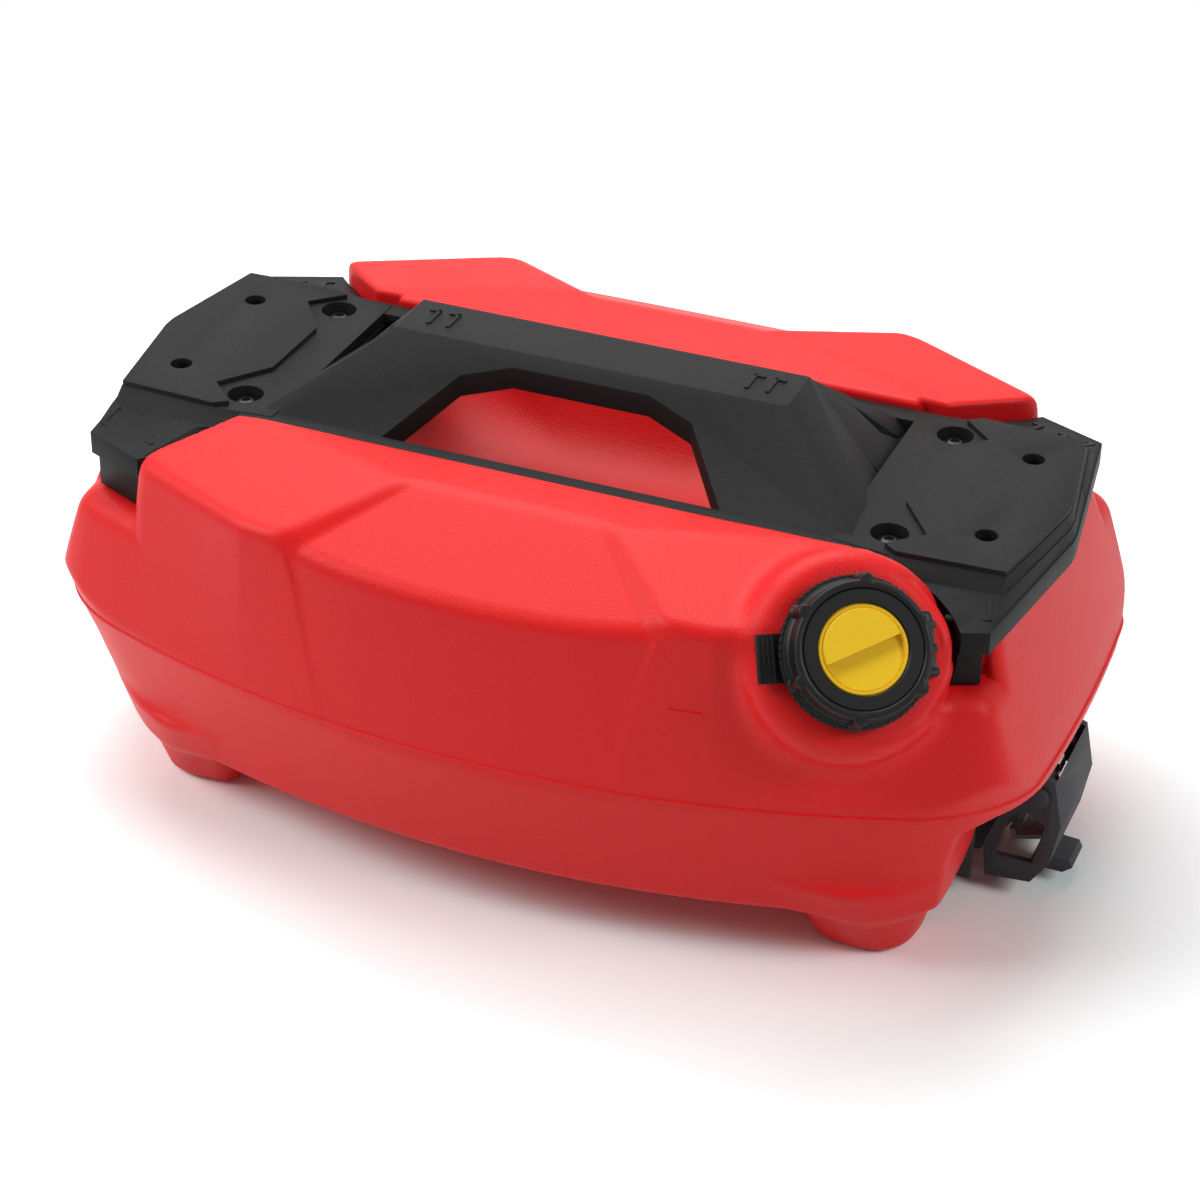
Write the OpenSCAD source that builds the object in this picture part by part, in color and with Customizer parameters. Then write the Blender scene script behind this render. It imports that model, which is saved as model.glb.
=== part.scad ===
// Low rectangular fuel can: a blow-moulded tank with a bolted-on carry plate, a screw cap with a
// child-lock ring on a slanted neck, and a sprung lever latch under each end.
// Frame: floor under the feet at z = 0, length along x, cap at the front (-y) right (+x) corner.

/* [Tank] */
// Length of the tank at the moulding seam
tank_l = 540; // [530:1:550]
// Width of the tank at the moulding seam, in the middle
tank_w = 350; // [344:1:356]
// Height of the moulding seam above the floor
seam_z = 108; // [104:1:112]
// Height of the crease round the underside
crease_z = 33; // [28:1:38]
// Wall of the tank
wall = 3.5; // [3:0.5:5]
// Radius in plan of the bowed long sides
side_r = 800; // [700:10:1000]
// Radius in plan of the bowed ends
end_r = 600; // [500:10:900]
// Blend of the plan corners
corner_blend = 65; // [50:1:80]
// Draft of the wall below the seam, height per unit of inset
lower_slope = 3.4; // [2.8:0.1:4]
// Distance between the feet along the length
foot_pitch_x = 374; // [360:2:380]
// Distance between the feet across the width
foot_pitch_y = 191; // [182:1:198]
// Length of the flat under one foot
foot_l = 36; // [28:1:44]
// Width of the flat under one foot
foot_w = 15; // [12:1:20]

/* [Carry plate] */
// Height of the end pads above the floor
pad_z = 215; // [211:1:219]
// Height of the grip bar above the end pads
bar_rise = 33; // [28:1:36]
// Half length of the flat top of the grip bar
bar_half = 107; // [100:1:112]
// Depth of the plate below the pads at its ends
plate_depth = 28; // [25:1:30]
// Shell of the plate
plate_wall = 4.5; // [3.5:0.5:6]
// Gap between the plate and the tank beside it
plate_gap = 0.8; // [0.4:0.1:1.2]
// Distance between the plate screws along the length
screw_pitch_x = 350; // [346:1:354]
// Distance between the plate screws across the width
screw_pitch_y = 107.8; // [104:0.2:110]
// Distance between the stacking holes along the length
stack_pitch_x = 439.2; // [436:0.2:442]
// Distance between the stacking holes across the width
stack_pitch_y = 82.6; // [80:0.2:85]
// Bore of a stacking hole
stack_bore = 11.6; // [10:0.2:13]
// Diameter of a plate screw's head
screw_head_d = 13.6; // [12:0.2:15]
// Diameter of a plate screw's shank
screw_d = 6; // [5:0.5:7]

/* [Neck and cap] */
// Distance of the neck in from the right end of the tank
neck_in_x = 85.5; // [83:0.5:88]
// Distance of the neck in from the front of the tank
neck_in_y = 41; // [39:0.5:43]
// Depth of the neck's face below the end pads
neck_drop = 22.5; // [20:0.5:25]
// Lean of the neck above the level
neck_elev = 37; // [35:1:39]
// Swing of the neck from the front towards the right end
neck_swing = 31; // [29:1:33]
// Bore of the neck
neck_bore = 44; // [40:1:46]
// Wall of the neck
neck_wall = 5; // [4:0.5:6]
// Height of the neck's rim above its boss
neck_h = 18; // [16:0.5:20]
// Outside diameter of the cap collar
collar_d = 65; // [63:0.5:68]
// Diameter of the collar's toothed skirt
skirt_d = 73; // [71:0.5:76]
// Opening in the top of the collar
collar_open = 43; // [40:0.5:45]
// Number of teeth round the skirt
tooth_count = 60; // [40:1:72]
// Number of grip nubs round the collar
nub_count = 6; // [4:1:8]
// Running gap between the neck and what turns or slides on it
neck_gap = 0.4; // [0.3:0.05:0.6]

/* [Latches] */
// Width of a latch lever
lever_w = 62; // [56:1:68]
// Wall of a latch lever
lever_wall = 4; // [3:0.5:5]
// Diameter of a latch pin
pin_d = 6; // [5:0.5:7]
// Running clearance of a pin in its ears, on the radius
pin_gap = 0.05; // [0.02:0.01:0.1]
// Height of the latch pins above the floor
pivot_z = 66; // [64:1:68]
// Distance of the latch pins in from the end of the tank
pivot_in = 14; // [13:0.5:16]
// Wire of the latch spring
wire_d = 1.4; // [1:0.1:1.8]
// Turns of the latch spring
spring_turns = 5; // [3:1:6]

/* [Hidden] */
$fn = 64;

// Seam outline: bowed sides and ends with blended corners
half_l = tank_l / 2;
half_w = tank_w / 2;
function soft_min(a, b, k) = min(a, b) - pow(max(k - abs(a - b), 0), 2) / (4 * k);
function soft_max(a, b, k) = -soft_min(-a, -b, k);
function inset(x, y) = -soft_max(abs(y) - half_w + x * x / (2 * side_r),
                                 abs(x) - half_l + y * y / (2 * end_r), corner_blend);
// Upper half: crowned pillows, corner facets, end walls and a sunk label wedge on each long side
ridge_z = pad_z - 14;
facet_a = 25.4;
facet_in = 79.6;
facet_reach = half_l * sin(facet_a) + half_w * cos(facet_a) - facet_in;
facet_slope = 3.4;
end_slope = 3.3;
side_slope = 18;
label_v = half_w - 61;
label_half = 50;
label_wide = 93;
label_slope = 0.477;
label_top = pad_z + 4;
label_rise = 0.5;
label_bow = 12.5;
wedge_v = half_w - 13;
wedge_z = pad_z - 23;
wedge_close = 1.9;
wedge_rise = 2;
function crown(u, v) = soft_min(pad_z + 1 + 0.1 * (v - label_v + 39),
                                pad_z + 25.6 - 0.124 * u - 0.135 * v, 16);
function facet(u, v) = ridge_z + (facet_reach - u * sin(facet_a) - v * cos(facet_a)) * facet_slope;
function end_wall(u, v) = seam_z + (half_l - v * v / (2 * end_r) - u) * end_slope;
function label_edge(v) =
  v < wedge_v ? label_wide - (wedge_v - v) * (label_wide - label_half) / (wedge_v - label_v)
              : label_wide - (v - wedge_v) * wedge_close;
function past_edge(u, v) = soft_max(u - label_edge(v), 0, 8);
function label_face(u, v) = label_top - label_slope * (v - label_v) + past_edge(u, v) * label_rise;
function seam_v(u) = half_w + 0.5 - u * u / (2 * side_r);
function label_ridge(u) = half_w - 1 - label_bow * pow(u / label_wide, 2);
function wedge_wall(u, v) =
  seam_z + (seam_v(u) - v) * (wedge_z - seam_z) / (seam_v(u) - label_ridge(u))
  + past_edge(u, v) * wedge_rise;
function corner_walls(u, v) =
  soft_min(soft_min(seam_z + inset(u, v) * side_slope, facet(u, v), 16), end_wall(u, v), 14);
function side_face(u, v) = soft_min(corner_walls(u, v), wedge_wall(u, v), 6);
function top_face(u, v) = soft_min(crown(u, v), label_face(u, v), 6);
function upper(u, v) = soft_min(side_face(u, v), top_face(u, v), 10);

// Lower half: drafted walls and a shallow arched underside
arch = 4;
function draft_wall(u, v) = seam_z - inset(u, v) * lower_slope;
function underside(u, v) = crease_z + arch * (1 - pow(u / half_l, 2));
function lower(u, v) = soft_max(draft_wall(u, v), underside(u, v), 6);

// Reach from the middle, on a bearing, of the seam, the upper ridge and the lower crease
function seam_reach(a, lo = 0, hi = half_l + half_w, n = 24) =
  n == 0 ? lo :
  let (r = (lo + hi) / 2, within = inset(r * cos(a), r * sin(a)) > 0)
  seam_reach(a, within ? r : lo, within ? hi : r, n - 1);
function ridge_reach(a, lo, hi, n = 20) =
  n == 0 ? lo :
  let (r = (lo + hi) / 2, u = abs(r * cos(a)), v = abs(r * sin(a)),
       within = side_face(u, v) > top_face(u, v))
  ridge_reach(a, within ? r : lo, within ? hi : r, n - 1);
function crease_reach(a, lo, hi, n = 20) =
  n == 0 ? lo :
  let (r = (lo + hi) / 2, u = abs(r * cos(a)), v = abs(r * sin(a)),
       within = draft_wall(u, v) < underside(u, v))
  crease_reach(a, within ? r : lo, within ? hi : r, n - 1);

// Closed skin of the tank: rings run from the crown out to the ridge, down to the seam, in to the
// crease and across the underside. Bearings lean so that one line of points follows each side of
// the label wedge. shrink moves the skin inwards, for the hollow.
crown_steps = [0.8, 0.6, 0.4, 0.31, 0.24, 0.18, 0.13, 0.085, 0.05, 0.02];
wall_steps = [1, 0.96, 0.88, 0.72, 0.48, 0.24];
draft_steps = [0.06, 0.3, 0.65, 0.9, 1];
under_steps = [0.04, 0.12, 0.4, 0.8];
skin_lean = 1.25;
wedge_bearing = 60;
wedge_spread = 25;
function lean(b) = max(1 - abs(b - wedge_bearing) / wedge_spread, 0);
function leant(a, amount) =
  let (q = floor(a / 90), f = a - 90 * q, b = q % 2 == 0 ? f : 90 - f,
       c = b + amount * lean(b))
  90 * q + (q % 2 == 0 ? c : 90 - c);
function upper_point(a, r, shrink) =
  let (u = abs(r * cos(a)), v = abs(r * sin(a)), z = upper(u, v) - skin_lean * shrink)
  [r * cos(a), r * sin(a), max(shrink == 0 ? z : min(z, ceiling(u, v)), seam_z + 0.5)];
function lower_point(a, r, shrink) =
  let (u = abs(r * cos(a)), v = abs(r * sin(a)))
  [r * cos(a), r * sin(a), min(lower(u, v) + skin_lean * shrink, seam_z - 0.5)];
function crown_ring(bearings, step, shrink) = [
  for (b = bearings)
    let (a = leant(b, 20 * min(step, 0.4)), seam = seam_reach(a) - shrink)
    upper_point(a, ridge_reach(a, 0, seam) * (1 - step), shrink)];
function wall_ring(bearings, step, shrink) = [
  for (b = bearings)
    let (a = leant(b, 6 * (1 - step)), seam = seam_reach(a) - shrink)
    upper_point(a, seam + (ridge_reach(a, 0, seam) - seam) * step, shrink)];
function seam_ring(bearings, shrink) = [
  for (b = bearings)
    let (a = leant(b, 6), seam = seam_reach(a) - shrink)
    [seam * cos(a), seam * sin(a), seam_z]];
function draft_ring(bearings, step, shrink) = [
  for (b = bearings)
    let (a = leant(b, 6), seam = seam_reach(a) - shrink)
    lower_point(a, seam + (crease_reach(a, 0, seam) - seam) * step, shrink)];
function under_ring(bearings, step, shrink) = [
  for (b = bearings)
    let (a = leant(b, 6), seam = seam_reach(a) - shrink)
    lower_point(a, crease_reach(a, 0, seam) * (1 - step), shrink)];
module skin(count, shrink) {
  bearings = [for (i = [0:count - 1]) 360 * i / count];
  rings = concat([for (q = crown_steps) crown_ring(bearings, q, shrink)],
                 [for (q = wall_steps) wall_ring(bearings, q, shrink)],
                 [seam_ring(bearings, shrink)],
                 [for (q = draft_steps) draft_ring(bearings, q, shrink)],
                 [for (q = under_steps) under_ring(bearings, q, shrink)]);
  n = len(rings);
  points = concat([for (r = rings) each r], [upper_point(0, 0, shrink), lower_point(0, 0, shrink)]);
  faces = concat(
    [for (j = [0:n - 2]) for (i = [0:count - 1])
      let (k = (i + 1) % count) each [[j * count + i, j * count + k, (j + 1) * count + k],
                                      [j * count + i, (j + 1) * count + k, (j + 1) * count + i]]],
    [for (i = [0:count - 1]) [n * count, (i + 1) % count, i]],
    [for (i = [0:count - 1]) [n * count + 1, (n - 1) * count + i, (n - 1) * count + (i + 1) % count]]);
  polyhedron(points, faces);
}

// Neck's foot, and the rounded boss that it stands on, in the neck's own frame
neck_p = [half_l - neck_in_x, neck_in_y - half_w, pad_z - neck_drop];
boss_flat = 39;
boss_r = 51;
boss_round = boss_r - boss_flat;
boss_deep = 40;
boss_show = 25;
boss_spot = boss_flat + 4;
module boss(inward) {
  translate([0, 0, -inward]) rotate_extrude($fn = 96) {
    translate([0, -boss_deep]) square([boss_r - inward, boss_deep - boss_round]);
    translate([0, -boss_round]) square([boss_flat - inward, boss_round]);
    translate([boss_flat - inward, -boss_round]) intersection() {
      circle(r = boss_round);
      translate([-1, -1]) square(boss_round + 1);
    }
  }
}

// Feet: a tapered block under each corner of the tank, about the middle of its flat
foot_top = crease_z + 9;
foot_low = [[-0.47, -0.5], [0.53, -0.5], [0.58, 0], [0.36, 0.5], [-0.47, 0.5]];
foot_high = [[-30, -30], [36, -30], [38, 0], [22, 24], [-30, 35]];
function widened(points) = [for (p = points) [p[0] * foot_l, p[1] * foot_w]];
function scaled(points, k) = [for (p = points) k * p];
module at_feet() {
  for (x = [0, 1], y = [0, 1]) mirror([x, 0, 0]) mirror([0, y, 0])
    translate([foot_pitch_x / 2, foot_pitch_y / 2, 0]) children();
}
module feet() {
  at_feet() loft(widened(foot_low), foot_high, 0, foot_top);
}
module feet_hollow() {
  at_feet() loft(scaled(widened(foot_low), 0.55), scaled(foot_high, 0.8), wall, foot_top + 5);
}

// Set-back of the ends below the seam, under a short overhang
recess = [[-48, -1], [-44, crease_z], [-38, seam_z - 42], [-34, seam_z - 30], [-18, seam_z - 24],
          [30, seam_z - 8], [30, -1]];
module end_recess(grow) {
  both_ends() translate([half_l - grow, 0, grow]) across(-half_w - 5, half_w + 5) polygon(recess);
}

// Seats in the tank for the plate, its legs, the hand and the latches
seat_z = pad_z - plate_depth;
rail_seat_z = pad_z - 13;
rail_front = 78;
rail_back = 73;
wing = [[254, 4], [240.7, 101], [204.5, 116.6], [165, rail_front], [150, rail_front]];
rail_half = 168;
trough_z = pad_z - 50;
trough_low = [[-80, -38], [80, -38], [80, 34], [-80, 34]];
trough_high = [[-122, -66], [122, -66], [122, 60], [-122, 60]];
pocket_x = half_l - 56;
pocket_half = 40;
pocket_top = seam_z - 10;
function ceiling(u, v) =
  min(seat_z - wall + max(v - rail_front - 25, 0),
      leg_z - plate_gap - wall + max(190 - u, 0) * 1.2,
      trough_z - wall + max(max(u - 88, v - 52), 0) * 1.1);

// Outline of one end of the plate, from its front rail round to its back rail, given its back half
function end_outline(back) =
  concat([for (i = [len(back) - 1:-1:0]) [back[i][0], -back[i][1]]], back);
function grown(points, grow) =
  [for (p = points) [p[0] + (p[0] > 200 ? grow : -grow / 2), p[1] + grow]];

// Solid between two outlines of equal length at two heights
module loft(low, high, z0, z1) {
  n = len(low);
  points = concat([for (p = low) [p[0], p[1], z0]], [for (p = high) [p[0], p[1], z1]]);
  faces = concat(
    [[for (i = [0:n - 1]) i]],
    [[for (i = [n - 1:-1:0]) n + i]],
    [for (i = [0:n - 1])
      let (k = (i + 1) % n) each [[i, n + i, n + k], [i, n + k, k]]]);
  polyhedron(points, faces);
}
module across(y0, y1) {
  translate([0, y1, 0]) rotate([90, 0, 0]) linear_extrude(y1 - y0) children();
}
module both_ends() {
  children();
  mirror([1, 0, 0]) children();
}
module at_screws() {
  for (x = [-1, 1], y = [-1, 1])
    translate([x * screw_pitch_x / 2, y * screw_pitch_y / 2, 0]) children();
}
module at_stack_holes() {
  for (x = [-1, 1], y = [-1, 1])
    translate([x * stack_pitch_x / 2, y * stack_pitch_y / 2, 0]) children();
}
module on_neck() {
  translate(neck_p) rotate([0, 90 - neck_elev, neck_swing - 90]) children();
}

// Leg outline under each wing tip
leg = [[209, 101], [234, 90], [237.5, 99.5], [207, 113]];
leg_z = pad_z - 46;
leg_out = [[-1, -1], [1, -1], [1, 1], [-1, 1]];
leg_open = [[0, 0], [0, 0], [25, 11], [-6, 25]];
function leg_room(grow) = [for (i = [0:3]) leg[i] + grow * leg_out[i] + leg_open[i]];
function mirrored_y(points) = [for (i = [len(points) - 1:-1:0]) [points[i][0], -points[i][1]]];

insert_d = 9;
insert_l = 14;
insert_wall = 3.5;
latch_screw_y = 28;
latch_screw_z = [50, 84];

module latch_pockets(grow) {
  both_ends()
    translate([pocket_x - grow, -pocket_half - grow, -1])
      cube([100, 2 * (pocket_half + grow), pocket_top + grow + 1]);
}
module at_latch_screws() {
  for (y = [-1, 1], z = latch_screw_z)
    translate([pocket_x, y * latch_screw_y, z]) rotate([0, -90, 0]) children();
}

// Room in the top of the tank for the plate; grow keeps the hollow that far away from it
module plate_seats(grow) {
  both_ends() {
    translate([0, 0, seat_z - grow]) linear_extrude(100)
      polygon(end_outline(grown(wing, plate_gap + grow)));
    for (p = [leg_room(plate_gap + grow), mirrored_y(leg_room(plate_gap + grow))])
      translate([0, 0, leg_z - plate_gap - grow]) linear_extrude(100) polygon(p);
  }
  translate([-rail_half, -rail_front - plate_gap - grow, rail_seat_z - grow])
    cube([2 * rail_half, rail_front + rail_back + 2 * (plate_gap + grow), 100]);
}

module tank() {
  color("firebrick") difference() {
    union() {
      difference() {
        union() {
          difference() {
            skin(120, 0);
            end_recess(0);
          }
          on_neck() boss(0);
          feet();
        }
        on_neck() translate([0, 0, 0.1]) cylinder(r = boss_spot, h = 60);
        difference() {
          union() {
            skin(60, wall);
            on_neck() boss(wall);
          }
          end_recess(wall);
          latch_pockets(wall);
          plate_seats(wall);
        }
        feet_hollow();
      }
      on_neck() translate([0, 0, -22]) cylinder(d = neck_bore + 2 * neck_wall, h = 22 + neck_h);
      at_screws() translate([0, 0, seat_z - insert_l - insert_wall])
        cylinder(d = insert_d + 2 * insert_wall, h = insert_l + insert_wall - 1);
      both_ends() at_latch_screws() translate([0, 0, 1])
        cylinder(d = insert_d + 2 * insert_wall, h = insert_l + insert_wall - 1);
    }
    on_neck() translate([0, 0, -30]) cylinder(d = neck_bore, h = 31 + neck_h);
    difference() {
      plate_seats(0);
      on_neck() translate([0, 0, -boss_show]) cylinder(r = boss_r, h = 100);
    }
    loft(trough_low, trough_high, trough_z, rail_seat_z + 1);
    latch_pockets(0);
    at_screws() translate([0, 0, seat_z - insert_l]) cylinder(d = insert_d, h = 100);
    both_ends() at_latch_screws() translate([0, 0, -1]) cylinder(d = insert_d, h = insert_l + 1);
  }
}

module insert(length, bore) {
  difference() {
    cylinder(d = insert_d, h = length);
    translate([0, 0, 2]) cylinder(d = bore, h = length);
  }
}
module plate_inserts() {
  color("goldenrod") at_screws() translate([0, 0, seat_z - insert_l]) insert(insert_l, screw_d);
}
module latch_inserts() {
  color("goldenrod") both_ends() at_latch_screws() translate([0, 0, insert_l]) mirror([0, 0, 1])
    insert(insert_l, 5);
}

// Carry plate: two ends with folded wing tips, two rails and the raised grip with its hand opening
bar_v = 15.6;
bar_back = 19;
bar_cut = 1.6;
deck_z = pad_z - 2.5;
head_z = deck_z - 7;
lip_z = seat_z + 12;
fold_z = pad_z - 9;
rail_gap = 0.3;
rail_z = rail_seat_z + rail_gap;
rail_t = 12;
rail_in = 0.4;
rail_top = deck_z - 0.5;
grip_front = 1 - rail_front;
grip_low = [[-171, -50], [-174, grip_front], [174, grip_front], [171, -50],
            [150, bar_back + 1], [-150, bar_back + 1]];
grip_high = [[-bar_half, bar_cut - bar_v], [bar_cut - bar_half, -bar_v], [bar_half - bar_cut, -bar_v],
             [bar_half, bar_cut - bar_v], [bar_half, bar_back], [-bar_half, bar_back]];
bar_top = pad_z + bar_rise;
bar_deep = 14;
room_half = 96.5;
room_front = -61;
room_wall = 97.5;
gusset_low = [[100, 10], [154, 10], [150, rail_back - 1.5], [112, rail_back - 1.5]];
gusset_high = [[bar_half - 11, 10], [bar_half - 0.5, 10], [bar_half - 0.5, bar_back - 0.5],
               [bar_half - 11, bar_back - 0.5]];
notch = [[127, 35], [140, 38], [151, 53]];
notch_z = deck_z - 6;
function toward(points, d) = [for (p = points) [p[0] - sign(p[0]) * d, p[1] - sign(p[1]) * d]];
opening = [[92.6, -66], [63, -31], [37, -23], [-37, -23], [-63, -31], [-92.6, -66]];
opening_skirt = [[99, -71], [66.5, -28], [38, -19], [-38, -19], [-66.5, -28], [-99, -71]];
// Outlines of the wing roofs, the middle and the pad, each at its foot and at its top
wing_foot = [[166, 40], [248.4, 40], [240, 100.2], [204.8, 115.6], [166, 77]];
wing_fold = [[168, 40], [246.1, 40], [239.5, 80], [187, 85.5], [168, 76]];
middle_foot = [[253.4, 4], [248.1, 42], [150.6, 77]];
middle_top = [[252, 4], [245.8, 42], [150.6, 75]];
pad_foot = [[251.6, 4], [239, 79], [185, 83], [151.2, 74]];
pad_edge = [[250, 4], [238.4, 71], [184, 73.6], [151.2, 70]];
plateau = [[249.6, 4], [238, 70.6], [184, 73.2], [177, 68], [193, 52], [174, 25]];
hollow_end = [[246, 4], [234, 64], [180, 66], [160, 58]];

module plate_end() {
  translate([0, 0, seat_z]) linear_extrude(lip_z - seat_z) polygon(end_outline(wing));
  loft(wing_foot, wing_fold, lip_z - 0.5, fold_z);
  loft(mirrored_y(wing_foot), mirrored_y(wing_fold), lip_z - 0.5, fold_z);
  loft(end_outline(middle_foot), end_outline(middle_top), lip_z - 0.7, fold_z - 0.3);
  loft(end_outline(pad_foot), end_outline(pad_edge), fold_z - 1, deck_z);
  translate([0, 0, deck_z - 1]) linear_extrude(pad_z - deck_z + 1) polygon(end_outline(plateau));
  for (p = [leg, mirrored_y(leg)]) translate([0, 0, leg_z])
    linear_extrude(seat_z - leg_z + 1) polygon(p);
}
module plate_rails(grow) {
  for (y = [rail_in - rail_front, rail_back - rail_in - rail_t])
    translate([-rail_half, y - grow, rail_z - 5 * grow])
      cube([2 * rail_half, rail_t + 2 * grow, rail_top - rail_z + 6 * grow]);
}
module plate_hollow() {
  difference() {
    union() {
      both_ends() translate([0, 0, seat_z - 1]) linear_extrude(deck_z - plate_wall - seat_z + 1)
        polygon(end_outline(hollow_end));
      loft(toward(grip_low, plate_wall + 1), toward(grip_high, plate_wall - 1), rail_seat_z - 1,
           bar_top - plate_wall);
    }
    plate_rails(1);
    at_screws() cylinder(d = screw_head_d + 12, h = pad_z);
    at_stack_holes() cylinder(d = stack_bore + 8, h = pad_z);
    linear_extrude(pad_z + 100) polygon(opening_skirt);
    for (x = [-room_wall, -70, -35, 0, 35, 70, room_wall]) translate([x - 1.5, -80, 0])
      cube([3, 160, pad_z + 100]);
    for (x = [-1, 1]) translate([x * 205 - 1.5, -90, 0]) cube([3, 180, pad_z]);
  }
}
module hand_room() {
  translate([-room_half, 0, 0]) rotate([90, 0, 90]) linear_extrude(2 * room_half)
    polygon([[room_front, rail_z - 1], [bar_back + 8, rail_z - 1], [bar_back + 8, bar_top - bar_deep],
             [-bar_v - 3, bar_top - bar_deep]]);
}
module carry_plate() {
  color("dimgray") difference() {
    union() {
      both_ends() plate_end();
      plate_rails(0);
      loft(grip_low, grip_high, rail_z, bar_top);
      both_ends() loft(gusset_low, gusset_high, rail_z + 0.2, bar_top - 0.5);
    }
    plate_hollow();
    hand_room();
    both_ends() translate([0, 0, notch_z]) linear_extrude(60) polygon(notch);
    translate([0, 0, rail_seat_z - 5]) linear_extrude(100) polygon(opening);
    at_screws() translate([0, 0, head_z]) cylinder(d = screw_head_d + 5.4, h = 50);
    at_screws() translate([0, 0, seat_z - 1]) cylinder(d = screw_d + 0.6, h = 50);
    at_stack_holes() translate([0, 0, seat_z - 1]) cylinder(d = stack_bore, h = 50);
    on_neck() translate([0, 0, -boss_show]) cylinder(r = boss_r + plate_gap, h = 100);
  }
}
module plate_screws() {
  color("black") at_screws() difference() {
    union() {
      translate([0, 0, head_z]) cylinder(d = screw_head_d, h = 1.2);
      translate([0, 0, head_z + 1.2]) intersection() {
        cylinder(d = screw_head_d - 2, h = 3.2);
        translate([0, 0, -4.4]) sphere(r = 7.6);
      }
      translate([0, 0, seat_z - insert_l + 3])
        cylinder(d = screw_d, h = head_z + 1 - seat_z + insert_l - 3);
    }
    translate([0, 0, head_z + 2]) cylinder(d = 5.5, h = 10, $fn = 6);
  }
}

// Neck furniture, in the neck's own frame: z out of the can, x down the slope, y to the right
ring_t = 3.5;
ring_d = 70;
tab_reach = 46;
tab_w = 23;
tab_root = 31.2;
tab_bead = 2.5;
skirt_z = ring_t + 1.2;
skirt_t = 4.5;
collar_top = neck_h + 8.5;
neck_d = neck_bore + 2 * neck_wall;
module lock_ring() {
  color("black") on_neck() difference() {
    union() {
      translate([0, 0, 0.3]) cylinder(d = ring_d, h = ring_t);
      translate([-13.5, 20, 0.3]) cube([27, 18.5, ring_t]);
      for (x = [-11, 0, 11]) translate([x, 38, 0.3]) cylinder(d = 4, h = ring_t);
    }
    translate([0, 0, -1]) cylinder(d = neck_d + 2 * neck_gap, h = 10);
    translate([-tab_w / 2 - 0.4, -60, -1]) cube([tab_w + 0.8, 61.8 - tab_root, 10]);
  }
}
module lock_tab() {
  color("black") on_neck() {
    translate([-tab_w / 2, -tab_reach, 1]) cube([tab_w, tab_reach - tab_root, tab_bead]);
    translate([0, -tab_root, 1 + tab_bead / 2]) rotate([0, 90, 0])
      cylinder(d = tab_bead, h = tab_w, center = true);
    for (i = [0:3]) translate([-tab_w / 2, -tab_reach + 0.4 + i * 2.3, ring_t - 0.5])
      cube([tab_w, 1.2, 1.6]);
  }
}
gasket_t = 2;
flange_t = 2.5;
module stopper_gasket() {
  color("black") on_neck() translate([0, 0, neck_h + 0.05]) difference() {
    cylinder(d = neck_d, h = gasket_t);
    translate([0, 0, -1]) cylinder(d = neck_bore - 2 * neck_gap, h = 10);
  }
}
module stopper_disc() {
  plug_d = neck_bore - 2 * neck_gap - 0.4;
  flange_z = neck_h + gasket_t + 0.05;
  color("gold") on_neck() difference() {
    union() {
      translate([0, 0, flange_z]) cylinder(d = neck_d, h = flange_t);
      translate([0, 0, neck_h - 8]) cylinder(d = plug_d, h = flange_z - neck_h + 9);
      translate([0, 0, flange_z]) cylinder(d = collar_open - 1, h = collar_top - flange_z - 0.6);
    }
    translate([0, 0, neck_h - 9]) cylinder(d = plug_d - 5, h = 9.5);
    translate([0, 0, collar_top - 2.6]) cylinder(d = collar_open - 5, h = 10);
    rotate(-19) translate([0, -collar_open, collar_top - 4.6]) cube([collar_open, 2 * collar_open, 10]);
  }
}
collar_h = collar_top - skirt_z;
module cap_collar() {
  color("black") on_neck() difference() {
    union() {
      translate([0, 0, skirt_z]) linear_extrude(skirt_t)
        polygon([for (i = [0:2 * tooth_count - 1])
          (skirt_d / 2 - (i % 2) * 1.3) * [cos(180 * i / tooth_count), sin(180 * i / tooth_count)]]);
      translate([0, 0, skirt_z]) rotate_extrude()
        polygon([[0, 0], [collar_d / 2 + 1.5, 0], [collar_d / 2 + 1.5, skirt_t + 2],
                 [collar_d / 2, skirt_t + 3], [collar_d / 2, collar_h - 3], [collar_d / 2 - 2.5, collar_h],
                 [0, collar_h]]);
      for (i = [0:nub_count - 1]) rotate(53 + 360 * i / nub_count)
        translate([collar_d / 2, 0, skirt_z + 1]) cylinder(d = 5, h = collar_h - 3);
    }
    translate([0, 0, skirt_z - 1])
      cylinder(d = neck_d + 2 * neck_gap, h = neck_h + gasket_t + flange_t + 1.5 - skirt_z);
    cylinder(d = collar_open, h = 60);
  }
}

// Latch under the right end; the left one is its mirror image
pivot_x = half_l - pivot_in;
ear_y = 15;
ear_t = 6;
ear_r = 7;
plate_x = pocket_x + 0.2;
plate_t = 5;
cheek_y = lever_w / 2 - lever_wall;
face_in = 9;
lever_tab = 21;
catch_w = 22;
module latch_housing() {
  difference() {
    union() {
      translate([plate_x, -pocket_half + 2, 10]) cube([plate_t, 2 * pocket_half - 4, pocket_top - 12]);
      for (s = [-1, 1]) {
        translate([0, s * (ear_y + ear_t / 2), 0]) across(-ear_t / 2, ear_t / 2) difference() {
          union() {
            translate([pivot_x, pivot_z]) circle(r = ear_r);
            polygon([[plate_x + 1, pivot_z + ear_r], [pivot_x, pivot_z + ear_r], [pivot_x, pivot_z - ear_r],
                     [plate_x + 12, 18], [plate_x + 1, 14]]);
          }
          translate([pivot_x, pivot_z]) circle(d = pin_d + 2 * pin_gap);
        }
        translate([plate_x, s * (pocket_half - 4) - 2, 10]) cube([12, 4, pocket_top - 12]);
      }
    }
    at_latch_screws() translate([0, 0, -20]) cylinder(d = 5.4, h = 40);
    at_latch_screws() translate([0, 0, -20 - plate_t]) cylinder(d = 10, h = 22.5);
  }
}
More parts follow.
